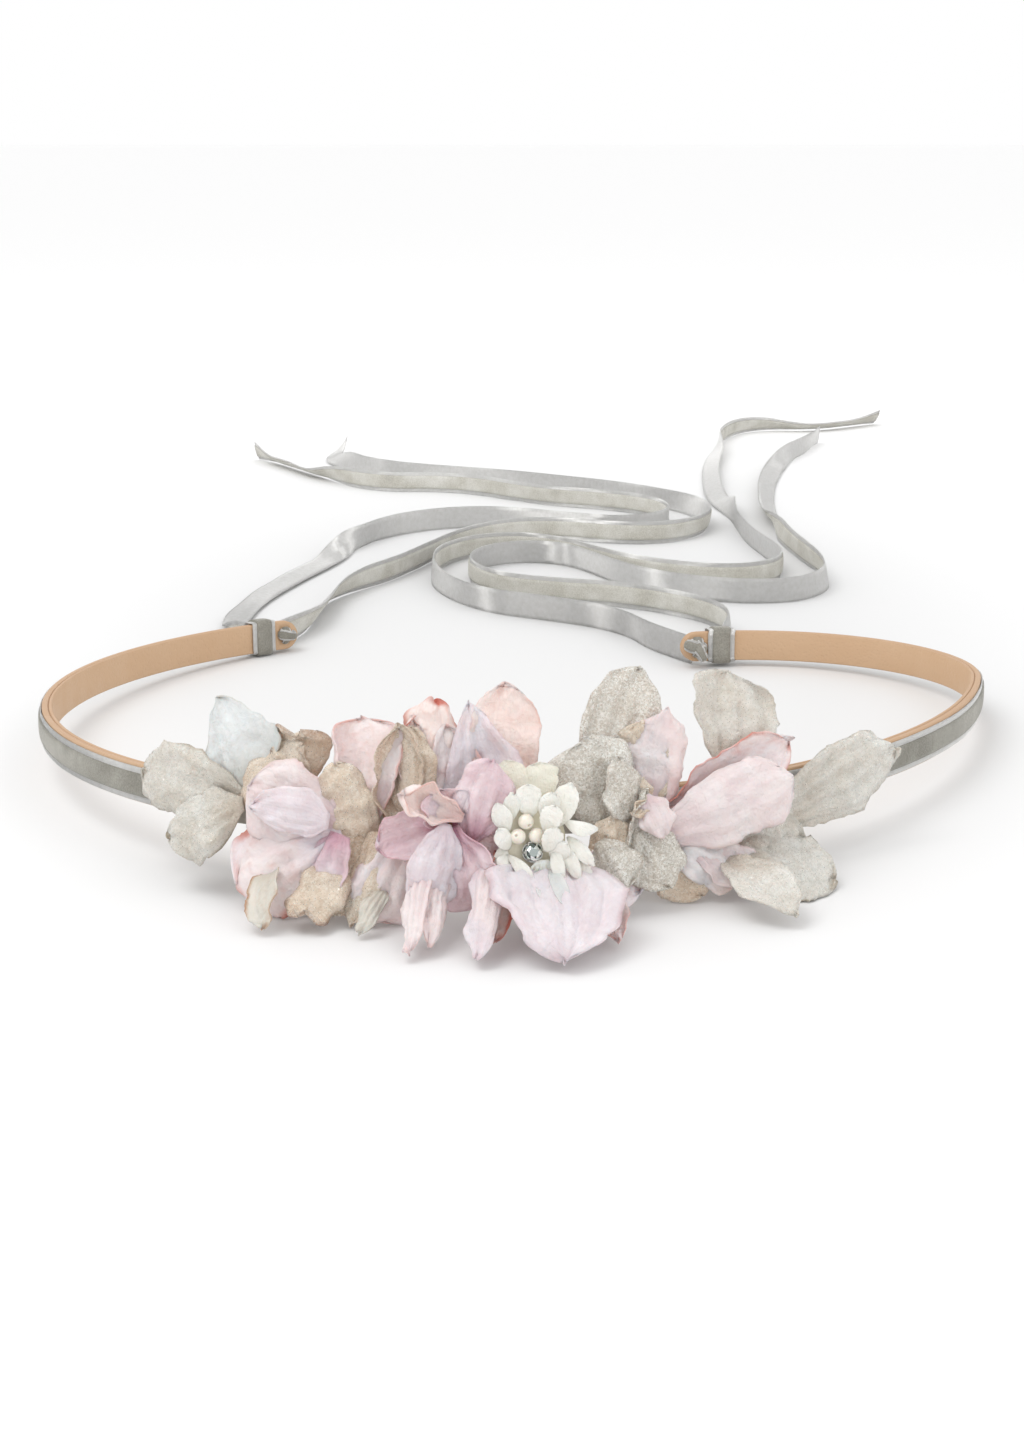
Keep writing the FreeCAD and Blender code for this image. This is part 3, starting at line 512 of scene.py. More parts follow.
# band
def bandSweep(name, section, start, end, materials, nodes, faceMaterial=None, roundEnds=False,
              step=1.6, waver=0.0):
    # section: closed list of out, up; it is swept along the band
    count = max(int((end - start) / step), 2)
    alongs = [start + (end - start) * i / count for i in range(count + 1)]
    half = bandPath["height"] / 2
    if roundEnds:
        close = [half * (1 - math.cos(math.radians(a))) for a in range(6, 90, 12)]
        alongs = sorted([a for a in alongs if start + half < a < end - half]
                        + [start + c for c in close] + [end - c for c in close])
    points, uvs, tones, faces, which = [], [], [], [], []
    for along in alongs:
        share = 1.0
        if roundEnds:
            near = half - min(along - start, end - along)
            if near > 0:
                share = math.sqrt(max(1 - (near / half) ** 2, 0.02))
        shift = waver * noise.noise(Vector((along * 0.05, 1.7, 0)))
        for out, up in section:
            points.append(bandPoint(along, out, half + (up - half) * share + shift))
            uvs.append((up / bandPath["height"], along * 0.1))
            tones.append((smoothStep(0.72, 1.0, abs(up - half) / half), 0.0, 0.0))
    k = len(section)
    for i in range(len(alongs) - 1):
        for j in range(k):
            n = (j + 1) % k
            faces.append((i * k + j, i * k + n, (i + 1) * k + n, (i + 1) * k + j))
            which.append(faceMaterial[j] if faceMaterial else 0)
    faces.append(tuple(range(k))[::-1])
    faces.append(tuple(range((len(alongs) - 1) * k, len(alongs) * k)))
    which += [which[0], which[0]]
    area = sum(a[0] * b[1] - b[0] * a[1] for a, b in zip(section, section[1:] + section[:1]))
    if area < 0:
        faces = [face[::-1] for face in faces]
    piece = newPiece(name, points, faces, materials, layDown, uvs, tones, which)
    return crownPiece(piece, nodes)


def softBar(inner, outer, low, high, soften, steps=3):  # a rectangle with rounded corners
    corners = [(outer - soften, high - soften, 0), (inner + soften, high - soften, 90),
               (inner + soften, low + soften, 180), (outer - soften, low + soften, 270)]
    ring = []
    for x, y, angle in corners:
        for i in range(steps + 1):
            a = math.radians(angle + 90 * i / steps)
            ring.append((x + soften * math.cos(a), y + soften * math.sin(a)))
    return ring


def leatherFinish(name):
    f = Finish(name, 0.5)
    tone = f.tone()
    cloud = f.noise(45, 4)
    colour = f.ramp(cloud, (0.3, tint(leatherLook["skin"])), (0.75, tint(leatherLook["warm"])))
    colour = f.mix(f.math("MULTIPLY", tone[0], 0.75), colour, tint(leatherLook["edge"]))
    pores = f.cells(leatherLook["grain"])
    normal = f.bump(f.ramp(pores.outputs["Distance"], (0.0, 0.0), (0.5, 1.0)), leatherLook["grainDepth"])
    normal = f.bump(f.noise(260, 4), 0.00012, normal)
    rough = f.ramp(f.noise(180, 3), (0.2, 0.42), (0.8, 0.62))
    f.set(Specular_IOR_Level=0.4)
    return f.finish(colour, rough, normal)


leather = leatherFinish("tanLeather")
bandCut = {"halfLeather": 0.9, "lining": -0.2, "glueGap": 0.01, "soften": 0.28,
           "hole": 1.1, "holeFromEnd": 3.0}


def punchHoles(piece):
    for along in (rightLength - bandCut["holeFromEnd"], -leftLength + bandCut["holeFromEnd"]):
        point, outward = bandPlace(along)
        bpy.ops.mesh.primitive_cylinder_add(vertices=28, radius=bandCut["hole"] * mm, depth=8 * mm)
        punch = bpy.context.object
        spot = layDown @ (point + zUp * bandPath["height"] / 2)
        aim = outward.to_track_quat("Z", "Y").to_matrix().to_4x4()
        punch.matrix_world = Matrix.Translation(spot * mm) @ aim
        cut = piece.modifiers.new("hole", "BOOLEAN")
        cut.operation = "DIFFERENCE"
        cut.solver = "EXACT"
        cut.object = punch
        bpy.context.view_layer.update()
        mesh = bpy.data.meshes.new_from_object(piece.evaluated_get(bpy.context.evaluated_depsgraph_get()))
        piece.modifiers.remove(cut)
        piece.data = mesh
        bpy.data.objects.remove(punch)


liningBar = softBar(-bandCut["halfLeather"], bandCut["lining"] - bandCut["glueGap"], 0, bandPath["height"],
                    bandCut["soften"])
lining = bandSweep("leather_lining_strip", liningBar,
                   -leftLength, rightLength, [leather], ["leather_lining"], roundEnds=True)
coverBar = softBar(bandCut["lining"] + bandCut["glueGap"], bandCut["halfLeather"], 0, bandPath["height"],
                   bandCut["soften"])
cover = bandSweep("leather_cover_strip", coverBar,
                  -leftLength, rightLength, [leather], ["leather_cover"], roundEnds=True)
punchHoles(lining)
punchHoles(cover)

gluedRibbon = {"width": 5.4, "gauge": 0.36, "out": 1.14, "pressed": 0.95, "fromEnd": 5.6}
ribbonStart, ribbonEnd = -leftLength + gluedRibbon["fromEnd"], rightLength - gluedRibbon["fromEnd"]
bandRibbon = []
bandRibbonKind = []
section, pileSides = ribbonSection(gluedRibbon["width"], gluedRibbon["gauge"])
for number, (x, y) in enumerate(section):
    bandRibbon.append((gluedRibbon["out"] + y * gluedRibbon["pressed"], bandPath["height"] / 2 + x))
    bandRibbonKind.append(0 if number in pileSides else 1)
bandSweep("velvet_ribbon_strip", bandRibbon, ribbonStart, ribbonEnd, [shadedVelvet, satin],
          ["velvet_ribbon"], bandRibbonKind, waver=0.18)
print("band made")


def feltFinish():
    f = Finish("greyFelt", 0.95)
    fibres = f.noise(900, 5, 0.7, 1.5)
    colour = f.ramp(fibres, (0.25, tint("A9A59B")), (0.75, tint("C9C5BB")))
    f.set(Sheen_Weight=0.3)
    return f.finish(colour, None, f.bump(fibres, 0.0002))


padCut = {"inner": 1.72, "outer": 2.88, "low": 0.5, "high": 5.5, "soften": 0.4, "start": -40, "end": 44}
padBar = softBar(padCut["inner"], padCut["outer"], padCut["low"], padCut["high"], padCut["soften"])
bandSweep("felt_pad_strip", padBar, padCut["start"], padCut["end"], [feltFinish()], ["felt_pad"],
          step=1.0, waver=0.1)


# tied ends
tieLook = {
    "tabLength": 5.6, "wrapWidth": 5.6, "wrapGauge": 0.4, "wrapInner": -1.3, "wrapOuter": 2.1,
    "wrapLow": -0.2, "wrapHigh": 6.35, "wrapSoften": 0.9, "knotRibbon": 2.9, "knotGauge": 0.35,
}


def wrapRound(name, nearEnd, towards, node):
    along = nearEnd - towards * (tieLook["tabLength"] + tieLook["wrapWidth"] / 2)
    point, outward = bandPlace(along)
    alongDir = outward.cross(zUp) * -1
    ring = softBar(tieLook["wrapInner"], tieLook["wrapOuter"], tieLook["wrapLow"], tieLook["wrapHigh"],
                   tieLook["wrapSoften"], 5)
    stations = []
    for number, (out, up) in enumerate(ring):
        before, after = ring[number - 1], ring[(number + 1) % len(ring)]
        run = Vector((after[0] - before[0], after[1] - before[1])).normalized()
        proud = outward * run.y - zUp * run.x
        slip = 0.15 * math.sin(number * 0.7)
        stations.append((point + outward * out + zUp * up + alongDir * slip, alongDir, proud, 1.0))
    return ribbonMesh(name, stations, tieLook["wrapWidth"], tieLook["wrapGauge"], True, [node],
                      place=layDown, pile=shadedVelvet)


wrapRound("left_wrap_ribbon", -leftLength, -1, "left_tie_wrap")
wrapRound("right_wrap_ribbon", rightLength, 1, "right_tie_wrap")


def knotAt(name, nearEnd, towards, node, loops):
    along = nearEnd - towards * bandCut["holeFromEnd"]
    point, outward = bandPlace(along)
    alongDir = outward.cross(zUp) * -1
    middle = point + zUp * bandPath["height"] / 2
    points, faces, uvs, which = [], [], [], []
    section, pileSides = ribbonSection(tieLook["knotRibbon"], tieLook["knotGauge"])
    count = len(section)
    for centre, first, second, reachA, reachB, wide in loops:
        spot = middle + alongDir * centre[0] + outward * centre[1] + zUp * centre[2]
        u = (alongDir * first[0] + outward * first[1] + zUp * first[2]).normalized()
        w = (alongDir * second[0] + outward * second[1] + zUp * second[2]).normalized()
        w = (w - u * w.dot(u)).normalized()
        across = u.cross(w)
        steps = 26
        base = len(points)
        for i in range(steps):
            a = 2 * math.pi * i / steps
            proud = (u * math.cos(a) / reachA + w * math.sin(a) / reachB).normalized()
            ringPoint = spot + u * reachA * math.cos(a) + w * reachB * math.sin(a)
            pinch = wide * (0.85 + 0.15 * math.cos(2 * a + reachA))
            for x, y in section:
                points.append(ringPoint + across * x * pinch + proud * y * 0.8)
                uvs.append((x / tieLook["knotRibbon"] + 0.5, a))
        for i in range(steps):
            p, q = base + i * count, base + ((i + 1) % steps) * count
            for k in range(count):
                n = (k + 1) % count
                faces.append((p + k, q + k, q + n, p + n))
                which.append(0 if k in pileSides else 1)
    piece = newPiece(name, points, faces, [shadedVelvet, satin], layDown, uvs, None, which)
    return crownPiece(piece, [node])


# each loop: middle, two directions, the reach along each, and a width share; all in along, out, up
knotAt("left_knot_ribbon", -leftLength, -1, "left_tie_knot", [
    ((0, 0, 0), (0, 1, 0), (0, 0, 1), 1.75, 1.7, 0.8),
    ((-0.3, -1.3, 0.1), (1, 0, 0.2), (0, 1, 0.1), 1.9, 0.75, 0.8),
    ((0.2, 1.4, -0.2), (0.6, 0, 0.8), (0, 1, 0), 1.7, 0.6, 0.75),
])
knotAt("right_knot_ribbon", rightLength, 1, "right_tie_knot", [
    ((0, 0, 0), (0, 1, 0), (0, 0, 1), 1.85, 2.0, 0.9),
    ((0.5, -1.5, 0.2), (1, 0, 0.3), (0, 1, 0.1), 2.2, 0.9, 0.95),
    ((-0.2, -1.9, -0.6), (0.5, 0.2, 0.9), (0, 1, 0.2), 2.0, 0.9, 0.8),
    ((0.2, 1.4, 0.2), (0.7, 0, 0.7), (0, 1, 0), 1.9, 0.7, 0.8),
])
print("ends tied")

# petals
petalCut = {"rows": 32, "columns": 22}
outlines = {  # half widths from foot to tip, as a share of the widest, and where the tip starts to round off
    "oval": ((0.20, 0.60, 0.88, 1.00, 0.98, 0.92, 0.80), 0.66),
    "round": ((0.22, 0.56, 0.84, 0.98, 1.00, 0.98, 0.92), 0.74),
    "fan": ((0.18, 0.46, 0.72, 0.90, 1.00, 1.00, 0.96), 0.84),
    "spade": ((0.42, 0.98, 0.96, 0.80, 0.58, 0.36, 0.14), 0.94),
    "leaf": ((0.18, 0.55, 0.85, 1.00, 0.92, 0.66, 0.30), 0.88),
    "strip": ((0.60, 0.88, 1.00, 1.00, 0.96, 0.90, 0.80), 0.78),
    "sail": ((0.30, 0.80, 1.00, 0.96, 0.80, 0.58, 0.34), 0.86),
}
petalDefaults = {
    "shape": "round", "cup": 25, "bow": 14, "tipCurl": 0, "curlFrom": 0.7, "leftCurl": 0, "rightCurl": 0,
    "crinkle": 0.42, "ruffle": 0.34, "waves": 2.2, "pleat": 0.12, "pleats": 4, "sway": 0, "twist": 0,
    "ragged": 0.09, "rim": 0.4, "rimFrom": 0.9, "deep": 0.5, "patch": 0.0, "scallop": 0.0, "gauge": 0.2,
    "leftShare": 1.0, "rightShare": 1.0,
}


def outlineAt(shape, v):
    stops, roundFrom = outlines[shape]
    place = min(max(v, 0.0), 1.0) * (len(stops) - 1)
    i = min(int(place), len(stops) - 2)
    t = place - i
    a, b, c, d = (stops[max(i - 1, 0)], stops[i], stops[i + 1], stops[min(i + 2, len(stops) - 1)])
    wide = 2 * b + (c - a) * t + (2 * a - 5 * b + 4 * c - d) * t * t + (3 * b - a - 3 * c + d) * t ** 3
    wide *= 0.5
    if v > roundFrom:
        wide *= math.sqrt(max(1 - ((v - roundFrom) / (1 - roundFrom)) ** 2, 0.0))
    return max(wide, 0.03)


def petalGrid(foot, tip, facing, width, turn, look, seed):
    lengthwise = tip - foot
    length = lengthwise.length
    lengthwise.normalize()
    across = lengthwise.cross(facing).normalized()
    towards = across.cross(lengthwise)
    spin = Matrix.Rotation(math.radians(turn), 3, lengthwise)
    across, towards = spin @ across, spin @ towards
    bow = math.radians(look["bow"])
    stretch = bow / math.sin(bow) if abs(bow) > 0.01 else 1.0
    rows, half = petalCut["rows"], petalCut["columns"] // 2
    shade = Vector((seed * 3.1, seed * 1.7, seed * 0.9))
    here = foot.copy()
    grid, marks = [], []
    before = 0.0
    for row in range(rows + 1):
        v = 1 - (1 - row / rows) ** 1.7
        curl = math.radians(look["tipCurl"]) * max(0.0, (v - look["curlFrom"]) / (1 - look["curlFrom"]))
        pitch = bow * (1 - 2 * v) + curl
        forward = lengthwise * math.cos(pitch) + towards * math.sin(pitch)
        proud = towards * math.cos(pitch) - lengthwise * math.sin(pitch)
        here = here + forward * ((v - before) * length * stretch)
        before = v
        roll = Matrix.Rotation(math.radians(look["twist"]) * v, 3, forward)
        sideways, out = roll @ across, roll @ proud
        spine = here + sideways * (look["sway"] * 4 * v * (1 - v))
        line = {}
        for side in (-1, 1):
            share = look["leftShare"] if side < 0 else look["rightShare"]
            reach = width / 2 * outlineAt(look["shape"], v) * share
            reach *= 1 + look["ragged"] * noise.noise(shade + Vector((v * 7, side * 3.0, 0)))
            reach *= 1 + 0.5 * look["ragged"] * noise.noise(shade + Vector((v * 26, side * 5.0, 2.0)))
            reach *= 1 + look["scallop"] * math.cos(2 * math.pi * 7 * v)
            edgeCurl = math.radians(look["leftCurl"] if side < 0 else look["rightCurl"])
            point = spine.copy()
            last = 0.0
            for column in range(0, half + 1):
                f = column / half
                bend = math.radians(look["cup"]) * f + edgeCurl * smoothStep(0.45, 1.0, f)
                flatways = sideways * side * math.cos(bend) + out * math.sin(bend)
                upright = out * math.cos(bend) - sideways * side * math.sin(bend)
                point = point + flatways * (reach * (f - last))
                last = f
                u = side * f
                local = Vector((u * width * 0.5, v * length, 0))
                edgeWave = math.sin(2 * math.pi * look["waves"] * v + side * 1.3 + seed)
                tipWave = math.sin(2 * math.pi * 0.9 * u + seed * 2)
                fold = math.cos(look["pleats"] * math.pi * u + seed)
                wave = look["ruffle"] * f ** 1.6 * edgeWave
                wave += look["ruffle"] * 0.8 * smoothStep(0.7, 1.0, v) * tipWave
                wave += look["pleat"] * fold * math.sin(math.pi * min(v * 1.1, 1))
                wave += look["crinkle"] * 1.5 * noise.noise(local * 0.22 + shade)
                ridge = 1 - 2 * abs(noise.noise(local * 0.34 + shade * 2))
                wave += look["crinkle"] * 1.1 * ridge
                wave += look["crinkle"] * 0.5 * abs(noise.noise(local * 0.8 - shade))
                wave += look["crinkle"] * 0.3 * noise.noise(local * 1.6 + shade)
                wave *= smoothStep(0.0, 0.18, v)
                lengthen = look["ragged"] * 0.5 * noise.noise(shade + Vector((u * 2, 9.0, 0)))
                lengthen *= smoothStep(0.6, 1.0, v)
                lengthen -= 0.03 * f * f * smoothStep(0.8, 1.0, v)
                spot = point + upright * wave + forward * (lengthen * length)
                edge = max(f, smoothStep(0.7, 1.0, v) ** 1.5)
                stain = 0.5 + 0.9 * noise.noise(shade + local * 0.28)
                rim = look["rim"] * smoothStep(look["rimFrom"], 1.0, edge) * min(max(stain, 0.0), 1.0)
                rim += 0.35 * look["rim"] * max(0.0, ridge - 0.75) * 4 * max(0.0, stain)
                # painted shade: how much the petal darkens towards its foot
                deep = look["deep"] * (1 - smoothStep(0.0, 0.55, v)) * (1 - 0.4 * f)
                patch = look["patch"] * smoothStep(0.35, 0.75, 0.5 + noise.noise(shade * 1.5 + local * 0.12))
                if side > 0 or column:
                    line[u] = (spot, (0.5 + 0.5 * u, v), (min(rim, 1.0), min(deep, 1.0), min(patch, 1.0)))
        ordered = [line[key] for key in sorted(line)]
        grid.append([entry[0] for entry in ordered])
        marks.append([(entry[1], entry[2]) for entry in ordered])
    return grid, marks


class Sheets:
    # gathers thin closed sheets into one mesh
    def __init__(self):
        self.points, self.faces, self.uvs, self.tones, self.which = [], [], [], [], []

    def add(self, grid, marks, gauge, material):
        rows, columns = len(grid), len(grid[0])
        base = len(self.points)
        lift = {}
        for r in range(rows):
            for c in range(columns):
                down = grid[min(r + 1, rows - 1)][c] - grid[max(r - 1, 0)][c]
                over = grid[r][min(c + 1, columns - 1)] - grid[r][max(c - 1, 0)]
                normal = over.cross(down)
                lift[r, c] = normal.normalized() if normal.length > 1e-9 else Vector((0, 0, 0))
        for side in (0.5, -0.5):
            for r in range(rows):
                for c in range(columns):
                    self.points.append(grid[r][c] + lift[r, c] * gauge * side)
                    self.uvs.append(marks[r][c][0])
                    self.tones.append(marks[r][c][1])
        back = rows * columns
        new = []
        for r in range(rows - 1):
            for c in range(columns - 1):
                a = base + r * columns + c
                new.append((a, a + 1, a + columns + 1, a + columns))
                new.append((a + back, a + back + columns, a + back + columns + 1, a + back + 1))
        rim = [(0, c) for c in range(columns)] + [(r, columns - 1) for r in range(1, rows)]
        rim += [(rows - 1, c) for c in range(columns - 2, -1, -1)] + [(r, 0) for r in range(rows - 2, 0, -1)]
        for first, second in zip(rim, rim[1:] + rim[:1]):
            a = base + first[0] * columns + first[1]
            b = base + second[0] * columns + second[1]
            new.append((b, a, a + back, b + back))
        self.faces += new
        self.which += [material] * len(new)


finishOrder = list(finishes)
glitterSheets = Sheets()


def sprayPlaces(foot, tip):
    base = bandPoint(foot[0], bandPath["padFace"] + foot[1], foot[2])
    end = bandPoint(tip[0], bandPath["padFace"] + tip[1], tip[2])
    outward = bandPlace((foot[0] + tip[0]) / 2)[1]
    return base, end, (outward + zUp * 0.35).normalized()


def petalPiece(node, rows):
    sheets = Sheets()
    for number, (foot, tip, width, turn, finish, extra) in enumerate(rows):
        look = dict(petalDefaults, **extra)
        base, end, facing = sprayPlaces(foot, tip)
        seed = sum(ord(letter) for letter in node) * 0.137 + number * 2.3
        grid, marks = petalGrid(base, end, facing, width, turn, look, seed)
        for line in grid:
            for spot in line:
                spot.z += max(0.0, 0.35 - (layDown @ spot).z)
        sheets.add(grid, marks, look["gauge"], finishOrder.index(finish))
        if petalFinishes[finish].get("glitter"):
            glitterSheets.add(grid, marks, look["gauge"] * 1.2, 0)
    materials = [finishes[name] for name in finishOrder]
    piece = newPiece(node + "_sheet", sheets.points, sheets.faces, materials, layDown, sheets.uvs,
                     sheets.tones, sheets.which)
    return crownPiece(piece, [node])


